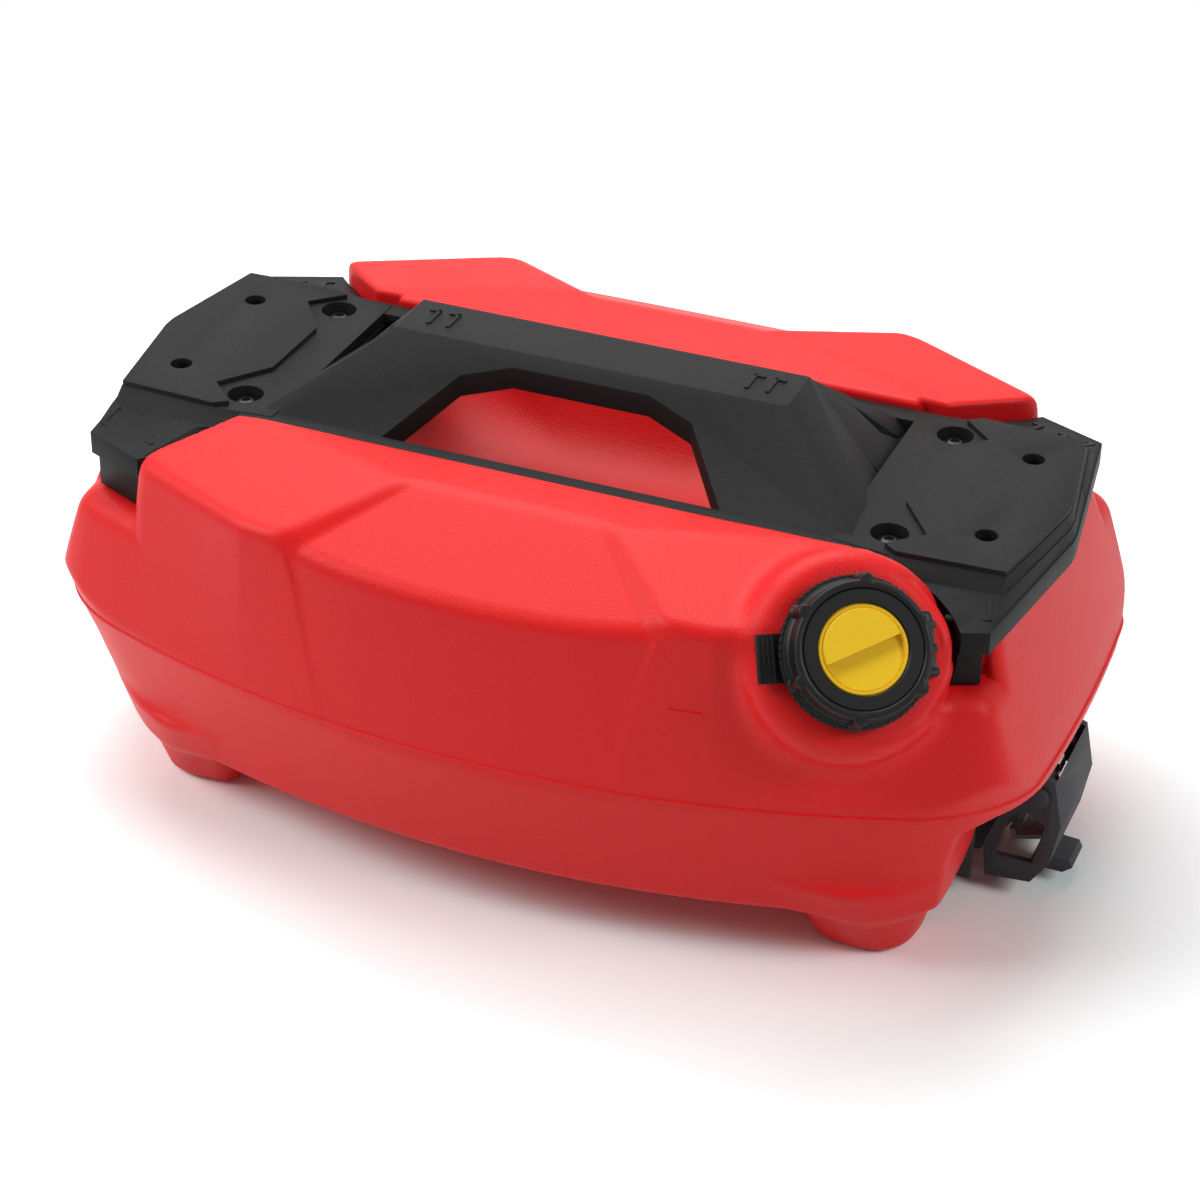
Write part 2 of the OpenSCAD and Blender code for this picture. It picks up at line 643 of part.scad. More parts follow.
module latch_screws() {
  at_latch_screws() {
    translate([0, 0, -plate_t - 0.2]) cylinder(d = 9, h = 2.6);
    translate([0, 0, -plate_t]) cylinder(d = 5, h = insert_l + plate_t - 3);
  }
}
module latch_pin() {
  translate([pivot_x, 0, pivot_z]) rotate([90, 0, 0]) {
    cylinder(d = pin_d, h = lever_w + 2, center = true);
    for (s = [-1, 1]) translate([0, 0, s * (lever_w / 2 + 2)])
      cylinder(d = pin_d + 6, h = 3.6, center = true);
  }
}
coil_r = pin_d / 2 + 0.5 + wire_d / 2;
coil_pitch = wire_d + 0.6;
coil_steps = 8 * spring_turns;
function coil_at(i) = [coil_r * cos(45 * i), coil_r * sin(45 * i), coil_pitch * i / 8];
echo(coil_gap = min([for (i = [0:coil_steps - 8]) norm(coil_at(i + 8) - coil_at(i))]) - wire_d);
module latch_spring() {
  path = [for (i = [0:coil_steps]) coil_at(i)];
  n = len(path);
  sides = 6;
  points = [for (i = [0:n - 1]) for (j = [0:sides - 1])
    let (a = 45 * i, b = 360 * j / sides, out = [cos(a), sin(a), 0])
    path[i] + wire_d / 2 * (out * cos(b) + [0, 0, 1] * sin(b))];
  faces = concat(
    [[for (j = [0:sides - 1]) j]], [[for (j = [sides - 1:-1:0]) (n - 1) * sides + j]],
    [for (i = [0:n - 2]) for (j = [0:sides - 1])
      let (k = (j + 1) % sides) each [[i * sides + j, (i + 1) * sides + j, (i + 1) * sides + k],
                                      [i * sides + j, (i + 1) * sides + k, i * sides + k]]]);
  translate([pivot_x, coil_pitch * spring_turns / 2, pivot_z]) rotate([90, 0, 0]) polyhedron(points, faces);
}
lever_side = [[pivot_x - 9, pivot_z + 8], [pivot_x, pivot_z + 12], [pivot_x + 8, pivot_z + 9],
              [pivot_x + 13, pivot_z - 16], [pivot_x + 9, pivot_z - 40], [pivot_x, pivot_z - 54],
              [pivot_x - 24, pivot_z - 56], [pivot_x - 26, pivot_z - 36], [pivot_x - 16, pivot_z - 8]];
lever_face = [[pivot_x + 8, pivot_z + 9], [pivot_x + 13, pivot_z - 16], [pivot_x + 9, pivot_z - 40],
              [pivot_x, pivot_z - 54], [pivot_x - 5, pivot_z - 54], [pivot_x + 5, pivot_z - 38],
              [pivot_x + 9, pivot_z - 16], [pivot_x + face_in - 1, pivot_z]];
lever_window = [[pivot_x - 19, pivot_z - 42], [pivot_x, pivot_z - 42], [pivot_x + 5, pivot_z - 18],
                [pivot_x - 6, pivot_z - 11], [pivot_x - 14, pivot_z - 16]];
module latch_lever() {
  for (y = [-lever_w / 2, cheek_y]) across(y, y + lever_wall) difference() {
    polygon(lever_side);
    polygon(lever_window);
    translate([pivot_x, pivot_z]) circle(d = pin_d);
  }
  across(-cheek_y - 1, cheek_y + 1) polygon(lever_face);
  across(-lever_tab / 2, lever_tab / 2)
    polygon([[pivot_x - 4, pivot_z - 58], [pivot_x + 12, pivot_z - 58], [pivot_x + 17, pivot_z - 54],
             [pivot_x + 15, pivot_z - 50], [pivot_x + 1, pivot_z - 49]]);
}
module latch_catch() {
  across(-catch_w / 2, catch_w / 2)
    polygon([[pivot_x + 4.2, pivot_z - 39], [pivot_x - 16, pivot_z - 45], [pivot_x - 18, pivot_z - 38],
             [pivot_x - 15, pivot_z - 38], [pivot_x - 13.6, pivot_z - 41.6],
             [pivot_x + 5.4, pivot_z - 36]]);
}
module right_or_left(left) {
  if (left) mirror([1, 0, 0]) children();
  else children();
}
module latch_housing_right() { color("black") right_or_left(false) latch_housing(); }
module latch_screws_right() { color("silver") right_or_left(false) latch_screws(); }
module latch_pin_right() { color("silver") right_or_left(false) latch_pin(); }
module latch_spring_right() { color("silver") right_or_left(false) latch_spring(); }
module latch_lever_right() { color("black") right_or_left(false) latch_lever(); }
module latch_catch_right() { color("silver") right_or_left(false) latch_catch(); }
module latch_housing_left() { color("black") right_or_left(true) latch_housing(); }
module latch_screws_left() { color("silver") right_or_left(true) latch_screws(); }
module latch_pin_left() { color("silver") right_or_left(true) latch_pin(); }
module latch_spring_left() { color("silver") right_or_left(true) latch_spring(); }
module latch_lever_left() { color("black") right_or_left(true) latch_lever(); }
module latch_catch_left() { color("silver") right_or_left(true) latch_catch(); }

tank();
plate_inserts();
latch_inserts();
carry_plate();
plate_screws();
lock_ring();
lock_tab();
stopper_gasket();
stopper_disc();
cap_collar();
latch_housing_right();
latch_screws_right();
latch_pin_right();
latch_spring_right();
latch_lever_right();
latch_catch_right();
latch_housing_left();
latch_screws_left();
latch_pin_left();
latch_spring_left();
latch_lever_left();
latch_catch_left();
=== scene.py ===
import math

import bmesh
import bpy
import numpy as np
from mathutils import Matrix, Vector
from mathutils.bvhtree import BVHTree


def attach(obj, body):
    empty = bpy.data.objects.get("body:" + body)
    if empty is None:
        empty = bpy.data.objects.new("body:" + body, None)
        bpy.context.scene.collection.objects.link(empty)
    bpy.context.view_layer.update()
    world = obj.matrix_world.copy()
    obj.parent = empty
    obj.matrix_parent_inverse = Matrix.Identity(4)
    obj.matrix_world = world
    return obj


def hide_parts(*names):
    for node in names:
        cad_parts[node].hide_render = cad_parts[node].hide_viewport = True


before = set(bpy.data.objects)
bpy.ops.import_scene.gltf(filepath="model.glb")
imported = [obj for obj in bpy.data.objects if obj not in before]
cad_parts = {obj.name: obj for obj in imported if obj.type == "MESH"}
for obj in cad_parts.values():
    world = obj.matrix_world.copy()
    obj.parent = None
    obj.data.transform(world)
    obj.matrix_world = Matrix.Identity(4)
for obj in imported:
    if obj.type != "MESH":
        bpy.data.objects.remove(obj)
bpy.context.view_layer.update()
scene = bpy.context.scene
scene.view_settings.view_transform = "Standard"


# Studio: a wide pale floor, an even white surround and three soft panels: one above and behind the
# can, one at its front left and one beyond its right end. The camera looks down on its front right.
CAN_MIDDLE = Vector((0.0, 0.0, 0.1))


def panel(name, place, width, watts):
    data = bpy.data.lights.new(name, "AREA")
    data.shape = "SQUARE"
    data.size = width
    data.energy = watts
    lamp = bpy.data.objects.new(name, data)
    scene.collection.objects.link(lamp)
    lamp.location = place
    lamp.rotation_euler = (CAN_MIDDLE - Vector(place)).to_track_quat("-Z", "Y").to_euler()


panel("panel_above", (-0.45, 0.55, 1.7), width=1.5, watts=26)
panel("panel_left", (-1.5, -0.9, 1.5), width=1.1, watts=24)
panel("panel_right", (1.9, -0.3, 1.5), width=0.9, watts=17)


def backdrop_share(tree):
    """1 on rays that see the backdrop, directly or in gloss or glass, and 0 on rays that light."""
    path = tree.nodes.new("ShaderNodeLightPath")
    seen = path.outputs["Is Camera Ray"]
    for kind in ("Is Glossy Ray", "Is Transmission Ray"):
        either = tree.nodes.new("ShaderNodeMath")
        either.operation = "MAXIMUM"
        tree.links.new(seen, either.inputs[0])
        tree.links.new(path.outputs[kind], either.inputs[1])
        seen = either.outputs[0]
    return seen


WHITE, FILL_STRENGTH = (1.0, 1.0, 1.0, 1.0), 0.14
world = bpy.data.worlds.new("surround")
scene.world = world
world.use_nodes = True
tree = world.node_tree
tree.nodes.clear()
fill_light = tree.nodes.new("ShaderNodeBackground")
fill_light.inputs["Color"].default_value = WHITE
fill_light.inputs["Strength"].default_value = FILL_STRENGTH
white_paper = tree.nodes.new("ShaderNodeBackground")
white_paper.inputs["Color"].default_value = WHITE
white_paper.inputs["Strength"].default_value = 1.0
choice = tree.nodes.new("ShaderNodeMixShader")
tree.links.new(backdrop_share(tree), choice.inputs[0])
tree.links.new(fill_light.outputs[0], choice.inputs[1])
tree.links.new(white_paper.outputs[0], choice.inputs[2])
output = tree.nodes.new("ShaderNodeOutputWorld")
tree.links.new(choice.outputs[0], output.inputs["Surface"])

FLOOR_REACH, FADE_FROM, FADE_TO = 6.0, 0.35, 1.1
FLOOR_LIT, FLOOR_SEEN = (0.80, 0.86, 0.86, 1.0), (1.20, 1.29, 1.29, 1.0)
paper = bpy.data.meshes.new("floor")
floor_signs = ((-1, -1), (1, -1), (1, 1), (-1, 1))
paper.from_pydata([(x * FLOOR_REACH, y * FLOOR_REACH, 0) for x, y in floor_signs],
                  [], [(0, 1, 2, 3)])
floor = bpy.data.objects.new("floor", paper)
scene.collection.objects.link(floor)
floor_white = bpy.data.materials.new("floor_white")
floor_white.use_nodes = True
tree = floor_white.node_tree
tree.nodes.clear()
matt = tree.nodes.new("ShaderNodeBsdfDiffuse")
matt.inputs["Color"].default_value = FLOOR_LIT
seen_matt = tree.nodes.new("ShaderNodeBsdfDiffuse")
seen_matt.inputs["Color"].default_value = FLOOR_SEEN
far_white = tree.nodes.new("ShaderNodeEmission")
far_white.inputs["Color"].default_value = WHITE
far_white.inputs["Strength"].default_value = 1.0
from_can = tree.nodes.new("ShaderNodeVectorMath")
from_can.operation = "LENGTH"
tree.links.new(tree.nodes.new("ShaderNodeTexCoord").outputs["Object"], from_can.inputs[0])
fading = tree.nodes.new("ShaderNodeMapRange")
fading.interpolation_type = "SMOOTHSTEP"
fading.inputs["From Min"].default_value = FADE_FROM
fading.inputs["From Max"].default_value = FADE_TO
tree.links.new(from_can.outputs["Value"], fading.inputs["Value"])
seen_floor = tree.nodes.new("ShaderNodeMixShader")
tree.links.new(fading.outputs["Result"], seen_floor.inputs[0])
tree.links.new(seen_matt.outputs[0], seen_floor.inputs[1])
tree.links.new(far_white.outputs[0], seen_floor.inputs[2])
choice = tree.nodes.new("ShaderNodeMixShader")
tree.links.new(backdrop_share(tree), choice.inputs[0])
tree.links.new(matt.outputs[0], choice.inputs[1])
tree.links.new(seen_floor.outputs[0], choice.inputs[2])
output = tree.nodes.new("ShaderNodeOutputMaterial")
tree.links.new(choice.outputs[0], output.inputs["Surface"])
paper.materials.append(floor_white)

CAMERA_SENSOR, CAMERA_LENS, CAMERA_AT = 36.0, 94.205, (0.537535, -1.319388, 0.974379)
camera_data = bpy.data.cameras.new("camera")
camera_data.sensor_width = CAMERA_SENSOR
camera_data.lens = CAMERA_LENS
camera = bpy.data.objects.new("camera", camera_data)
scene.collection.objects.link(camera)
right = Vector((0.92332081, 0.38374581, 0.01475943))
down = Vector((0.21226482, -0.4779419, -0.8523586))
ahead = Vector((-0.32003489, 0.79013334, -0.52274944))
turn = Matrix((right, -down, -ahead)).transposed()
camera.matrix_world = Matrix.Translation(CAMERA_AT) @ turn.to_4x4()
scene.camera = camera


# Tank: one blow-moulded shell of red polyethylene with a fine orange-peel grain. Its halves meet at
# the seam; sunk wedges, filler boss, plate seat, trough, latch pockets and feet are moulded in.
# Its shape is a field of distances in millimetres, and its mesh the net of points where that is 0.
MM = 0.001
TANK_L, TANK_W, SEAM_Z, CREASE_Z = 540.0, 350.0, 108.0, 33.0
HALF_L, HALF_W = TANK_L / 2, TANK_W / 2
SEAM_OUTLINE, LOWER_OUTLINE = (600.0, 1100.0, 20.0), (560.0, 1100.0, 50.0)
LOWER_SLOPE, ARCH = 3.4, 1.0
PAD_Z = 215.0
RAIL_FRONT, RAIL_BACK = 78.0, 73.0
SEAT_Z, RAIL_SEAT_Z, LEG_Z, TROUGH_Z = PAD_Z - 28, PAD_Z - 13, PAD_Z - 46, PAD_Z - 50
RIDGE_Z = PAD_Z - 14
FACET_A, FACET_IN = math.radians(25.4), 78.2
FACET_REACH = HALF_L * math.sin(FACET_A) + HALF_W * math.cos(FACET_A) - FACET_IN
END_SLOPE, SIDE_SLOPE = 3.0, 18.0
CROWN_TILT, CROWN_LIFT, RAMP_U, RAMP_V, RAMP_FROM, RAMP_ROUND = 0.1, 1.3, 0.125, 0.36, 46.8, 4.0
BACK_RAMP = 0.55
SUNK_V, SUNK_HALF, SUNK_WIDE = HALF_W - 61, 50.0, 93.0
SUNK_TOP, SUNK_SLOPE, SUNK_RISE, SUNK_BOW = PAD_Z + 4, 0.477, 0.5, 12.5
WEDGE_V, WEDGE_Z, WEDGE_CLOSE, WEDGE_RISE = HALF_W - 13, PAD_Z - 23, 1.9, 5.5
SEAM_BAND, SEAM_PAST, RIDGE_IN = 5.0, 0.5, 1.0
LEAST_RUN, RUN_ROUND, SUNK_ROUND = 1.5, 7.0, 3.0


def soft_min(a, b, k):
    return np.minimum(a, b) - np.maximum(k - np.abs(a - b), 0) ** 2 / (4 * k)


def soft_max(a, b, k):
    return -soft_min(-a, -b, k)


def inset(u, v, outline=SEAM_OUTLINE):
    """How far a plan point lies inside an outline of bowed sides and ends and blended corners."""
    side_r, end_r, blend = outline
    return -soft_max(v - HALF_W + u * u / (2 * side_r), u - HALF_L + v * v / (2 * end_r), blend)


def face_distance(z, height, u, v):
    """Distance above a face given as a height over the plan, from its height and slope there."""
    step = 0.5
    here = height(u, v)
    du, dv = (height(u + step, v) - here) / step, (height(u, v + step) - here) / step
    return (z - here) / np.sqrt(1 + (du * du + dv * dv))


def crown(u, v, ramp=1.0):
    """Height of the pillows beside the plate, which fall to the corners, less so at the back."""
    past = np.maximum(RAMP_V * v + RAMP_U * u - RAMP_FROM, 0)
    fall = np.where(past < RAMP_ROUND, past * past / (2 * RAMP_ROUND), past - RAMP_ROUND / 2)
    return PAD_Z + CROWN_LIFT + CROWN_TILT * (v - RAIL_FRONT) - fall * ramp


def past_sunk(u, v):
    """How far along the tank a point lies past the slanted side of the sunk wedge."""
    edge = np.where(v < WEDGE_V,
                    SUNK_WIDE - (WEDGE_V - v) * (SUNK_WIDE - SUNK_HALF) / (WEDGE_V - SUNK_V),
                    SUNK_WIDE - (v - WEDGE_V) * WEDGE_CLOSE)
    return soft_max(u - edge, 0, SUNK_ROUND)


def sunk_face(u, v):
    return SUNK_TOP - SUNK_SLOPE * (v - SUNK_V) + past_sunk(u, v) * SUNK_RISE


def wedge_wall(u, v):
    seam_v = HALF_W + SEAM_PAST - u * u / (2 * SEAM_OUTLINE[0])
    ridge_v = HALF_W - RIDGE_IN - SUNK_BOW * (u / SUNK_WIDE) ** 2
    wall = SEAM_Z + (seam_v - v) * (WEDGE_Z - SEAM_Z) / (seam_v - ridge_v)
    return wall + past_sunk(u, v) * WEDGE_RISE


def corner_facet(u, v):
    past = u * math.sin(FACET_A) + v * math.cos(FACET_A) - FACET_REACH
    deep = inset(u, v)
    return SEAM_Z + (RIDGE_Z - SEAM_Z) * deep / soft_max(deep + past, LEAST_RUN, RUN_ROUND)


def end_wall(u, v):
    return SEAM_Z + (HALF_L - v * v / (2 * SEAM_OUTLINE[1]) - u) * END_SLOPE


def side_wall(u, v):
    return SEAM_Z + inset(u, v) * SIDE_SLOPE


def draft_wall(u, v):
    return SEAM_Z - SEAM_BAND - inset(u, v, LOWER_OUTLINE) * LOWER_SLOPE


def underside(u, v):
    return CREASE_Z + ARCH * (1 - (u / HALF_L) ** 2)


def plan_distance(x, y, outline):
    """Distance in plan to a closed outline, negative inside it."""
    nearest = np.full(np.broadcast(x, y).shape, 1e9)
    within = np.zeros(nearest.shape, bool)
    for (ax, ay), (bx, by) in zip(outline, outline[1:] + outline[:1]):
        along = ((x - ax) * (bx - ax) + (y - ay) * (by - ay)) / ((bx - ax) ** 2 + (by - ay) ** 2)
        along = np.clip(along, 0, 1)
        off_x, off_y = x - ax - along * (bx - ax), y - ay - along * (by - ay)
        nearest = np.minimum(nearest, off_x ** 2 + off_y ** 2)
        if by != ay:
            within ^= ((ay > y) != (by > y)) & (x < ax + (y - ay) * (bx - ax) / (by - ay))
    return np.where(within, -1, 1) * np.sqrt(nearest)


def frustum_planes(low, high, z0, z1):
    """Outward unit normals and offsets of the sides of a block between two outlines."""
    planes = []
    for i in range(len(low)):
        a, b = np.array([*low[i], z0]), np.array([*low[(i + 1) % len(low)], z0])
        c, d = np.array([*high[(i + 1) % len(low)], z1]), np.array([*high[i], z1])
        normal = np.cross(c - a, d - b)
        normal = normal / np.linalg.norm(normal)
        planes.append((normal, normal @ (a + b + c + d) / 4))
    return planes


def within_planes(x, y, z, planes, k):
    depth = None
    for normal, offset in planes:
        one = normal[0] * x + normal[1] * y + normal[2] * z - offset
        depth = one if depth is None else soft_max(depth, one, k)
    return depth


WING = [(254, 4), (240.7, 101), (204.5, 116.6), (165, 78), (150, 78)]
WING_PLAN = [(px, -py) for px, py in reversed(WING)] + WING
LEG_PLAN = [(206, 100), (235, 88.4), (260, 108), (207.5, 140)]
PLATE_GAP = 1.0
RECESS = [(222, -9), (226, 33), (232, 70), (238, 92), (252, 98), (310, 103), (310, -9)]
FOOT_AT = (187.0, 95.5)
FOOT_LOW = [(-27, -24), (25, -24), (26, -6), (20, 5), (9, 11), (-17, 9), (-27, -6)]
FOOT_HIGH = [(-38, -40), (36, -40), (37, -4), (28, 18), (6, 34), (-28, 33), (-38, 5)]
FOOT_OVER, FOOT_ROOT = 9.0, 20.0
FOOT_PLANES = frustum_planes(FOOT_LOW, FOOT_HIGH, 0, CREASE_Z + FOOT_OVER)
TROUGH_FLOOR = [(-80, -38), (80, -38), (80, 34), (-80, 34)]
TROUGH_MOUTH = [(-122, -66), (122, -66), (122, 60), (-122, 60)]
TROUGH_PLANES = frustum_planes(TROUGH_FLOOR, TROUGH_MOUTH, TROUGH_Z, RAIL_SEAT_Z + 1)
POCKET_X, POCKET_HALF, POCKET_TOP = HALF_L - 56, 40.0, SEAM_Z - 10
NECK_AT = np.array([184.5, -134.0, PAD_Z - 22.5])
NECK_ELEV, NECK_SWING = math.radians(37), math.radians(31)
NECK_OUT = np.array([math.cos(NECK_ELEV) * math.sin(NECK_SWING),
                     -math.cos(NECK_ELEV) * math.cos(NECK_SWING), math.sin(NECK_ELEV)])
NECK_RIGHT = np.array([math.cos(NECK_SWING), math.sin(NECK_SWING), 0.0])
NECK_DOWN = np.cross(NECK_RIGHT, NECK_OUT)
BOSS_R, BOSS_ROUND, BOSS_DEEP, BOSS_SPOT, NECK_BORE, BORE_DEEP = 51.0, 12.0, 44.0, 43.0, 44.0, 30.0
RAIL_END, LEG_GAP = 160.0, 1.0
END_EDGE, WEDGE_EDGE, SUNK_EDGE, SHOULDER, CREASE = 5.0, 2.5, 3.0, 6.5, 5.0
SEAM_EDGE, RECESS_EDGE, FOOT_EDGE, FOOT_TOP_EDGE, FOOT_FILLET = 1.5, 2.0, 6.0, 4.0, 10.0
SPOT_EDGE, BOSS_FILLET, SEAT_EDGE, LEG_EDGE = 4.0, 9.0, 3.0, 12.0
TROUGH_SIDES, TROUGH_BED, TROUGH_EDGE, POCKET_EDGE, BORE_EDGE = 30.0, 24.0, 6.0, 3.0, 1.5


def tank_field(x, y, z):
    u, v = np.abs(x), np.abs(y)
    side = face_distance(z, side_wall, u, v)
    walls = np.maximum(side, face_distance(z, corner_facet, u, v))
    walls = soft_max(walls, face_distance(z, end_wall, u, v), END_EDGE)
    walls = soft_max(walls, face_distance(z, wedge_wall, u, v), WEDGE_EDGE)
    ramp = np.where(y > 0, BACK_RAMP, 1.0)
    top = face_distance(z, lambda p, q: crown(p, q, ramp), u, v)
    top = soft_max(top, face_distance(z, sunk_face, u, v), SUNK_EDGE)
    shell = np.maximum(soft_max(walls, top, SHOULDER), -inset(u, v))
    draft, under = face_distance(z, draft_wall, u, v), face_distance(z, underside, u, v)
    bottom = soft_max(-draft, -under, CREASE)
    shell = soft_max(shell, bottom, SEAM_EDGE)
    shell = soft_max(shell, -plan_distance(u, z, RECESS), RECESS_EDGE)
    foot = within_planes(u - FOOT_AT[0], v - FOOT_AT[1], z, FOOT_PLANES, FOOT_EDGE)
    foot = soft_max(soft_max(foot, -z, FOOT_EDGE), z - CREASE_Z - FOOT_ROOT, FOOT_TOP_EDGE)
    shell = soft_min(shell, foot, FOOT_FILLET)
    dx, dy, dz = x - NECK_AT[0], y - NECK_AT[1], z - NECK_AT[2]
    rise = dx * NECK_OUT[0] + dy * NECK_OUT[1] + dz * NECK_OUT[2]
    radius = np.sqrt(np.maximum(dx * dx + dy * dy + dz * dz - rise * rise, 0))
    out, over = radius - BOSS_R + BOSS_ROUND, rise + BOSS_ROUND
    boss = np.sqrt(np.maximum(out, 0) ** 2 + np.maximum(over, 0) ** 2)
    boss = boss + np.minimum(np.maximum(out, over), 0) - BOSS_ROUND
    boss = np.maximum(boss, -rise - BOSS_DEEP)
    shell = soft_max(shell, np.minimum(rise, BOSS_SPOT - radius), SPOT_EDGE)
    shell = soft_min(shell, boss, BOSS_FILLET)
    ends = np.maximum(plan_distance(u, y, WING_PLAN) - PLATE_GAP, SEAT_Z - z)
    legs = np.maximum(plan_distance(u, v, LEG_PLAN) - PLATE_GAP, LEG_Z - LEG_GAP - z)
    rails = np.maximum(u - RAIL_END, np.maximum(y - RAIL_BACK, -y - RAIL_FRONT) - PLATE_GAP)
    rails = np.maximum(rails, RAIL_SEAT_Z - z)
    beside_boss = BOSS_R - radius
    shell = soft_max(shell, -np.maximum(np.minimum(ends, rails), beside_boss), SEAT_EDGE)
    shell = soft_max(shell, -np.maximum(legs, beside_boss), LEG_EDGE)
    trough = soft_max(within_planes(x, y, z, TROUGH_PLANES, TROUGH_SIDES), TROUGH_Z - z, TROUGH_BED)
    shell = soft_max(shell, -trough, TROUGH_EDGE)
    pocket = np.maximum(np.maximum(v - POCKET_HALF, POCKET_X - u), z - POCKET_TOP)
    shell = soft_max(shell, -pocket, POCKET_EDGE)
    bore = np.maximum(radius - NECK_BORE / 2, -rise - BORE_DEEP)
    return soft_max(shell, -bore, BORE_EDGE)


def net_of(field, low, high, step):
    """Points and four-sided faces of the surface where the field is zero, one point to a cell."""
    axes = [np.arange(a, b + step, step) for a, b in zip(low, high)]
    value = field(axes[0][:, None, None], axes[1][None, :, None], axes[2][None, None, :])
    inside = value < 0
    cells = tuple(n - 1 for n in value.shape)
    owners, places, rings = [], [], []
    for axis in range(3):
        first, second = [slice(None)] * 3, [slice(None)] * 3
        first[axis], second[axis] = slice(None, -1), slice(1, None)
        first, second = tuple(first), tuple(second)
        edge = np.nonzero(inside[first] != inside[second])
        a, b = value[first][edge], value[second][edge]
        place = [e.astype(float) for e in edge]
        place[axis] = place[axis] + a / (a - b)
        place = np.stack(place, 1)
        p, q = (axis + 1) % 3, (axis + 2) % 3
        ring = []
        for dp, dq in ((-1, -1), (0, -1), (0, 0), (-1, 0)):
            cell = [e.copy() for e in edge]
            cell[p] = cell[p] + dp
            cell[q] = cell[q] + dq
            ring.append(np.ravel_multi_index(cell, cells))
            owners.append(ring[-1])
            places.append(place)
        ring = np.stack(ring, 1)
        rings.append(np.where((a < 0)[:, None], ring, ring[:, ::-1]))
    owners, places, rings = np.concatenate(owners), np.concatenate(places), np.concatenate(rings)
    used, owner = np.unique(owners, return_inverse=True)
    count = np.bincount(owner)
    points = np.stack([np.bincount(owner, places[:, i]) / count for i in range(3)], 1)
    return points * step + np.array([a[0] for a in axes]), np.searchsorted(used, rings)


def slope_of(field, p, e=0.4):
    found = []
    for i in range(3):
        d = np.zeros(3)
        d[i] = e
        found.append((field(*(p + d).T) - field(*(p - d).T)) / (2 * e))
    return np.stack(found, 1)


def settled(field, p, rounds):
    """The points moved onto the surface along the field's slope, a millimetre a round at most."""
    for _ in range(rounds):
        slope = slope_of(field, p)
        move = slope * (field(*p.T) / np.maximum((slope * slope).sum(1), 0.05))[:, None]
        length = np.linalg.norm(move, axis=1, keepdims=True)
        p = p - move * np.minimum(1, 1.0 / np.maximum(length, 1e-9))
    return p


def evened(p, faces):
    ends = np.concatenate([faces[:, [i, (i + 1) % 4]] for i in range(4)])
    ends = np.concatenate([ends, ends[:, ::-1]])
    count = np.bincount(ends[:, 0], minlength=len(p))
    near = np.stack([np.bincount(ends[:, 0], p[ends[:, 1], i], len(p)) for i in range(3)], 1)
    return p + 0.5 * (near / count[:, None] - p)


def linked(name, mesh):
    piece = bpy.data.objects.new(name, mesh)
    scene.collection.objects.link(piece)
    return piece


def evaluated(piece):
    """The piece's mesh with its modifiers worked in, and the modifiers taken off."""
    graph = bpy.context.evaluated_depsgraph_get()
    mesh = bpy.data.meshes.new_from_object(piece.evaluated_get(graph))
    piece.modifiers.clear()
    old = piece.data
    piece.data = mesh
    bpy.data.meshes.remove(old)
    return mesh


NET_LOW, NET_HIGH, NET_STEP = (-276, -180, -4), (276, 180, 246), 2.0
MOST_TRIANGLES, NORMAL_STEP = 170000, 0.7
points, faces = net_of(tank_field, NET_LOW, NET_HIGH, NET_STEP)
for _ in range(3):
    points = settled(tank_field, evened(points, faces), 1)
points = settled(tank_field, points, 2)
tank_mesh = bpy.data.meshes.new("tank_shell")
tank_mesh.from_pydata((points * MM).tolist(), [], faces.tolist())
tank = linked("tank_shell", tank_mesh)
if 2 * len(faces) > MOST_TRIANGLES:
    thin = tank.modifiers.new("thin", "DECIMATE")
    thin.ratio = MOST_TRIANGLES / (2 * len(faces))
    tank_mesh = evaluated(tank)
    points = np.zeros(3 * len(tank_mesh.vertices))
    tank_mesh.vertices.foreach_get("co", points)
    points = settled(tank_field, points.reshape(-1, 3) / MM, 2)
    tank_mesh.vertices.foreach_set("co", (points * MM).ravel())
    tank_mesh.update()
tank_mesh.polygons.foreach_set("use_smooth", np.ones(len(tank_mesh.polygons), bool))
normals = slope_of(tank_field, points, NORMAL_STEP)
normals /= np.linalg.norm(normals, axis=1, keepdims=True)
tank_mesh.normals_split_custom_set_from_vertices(normals.tolist())


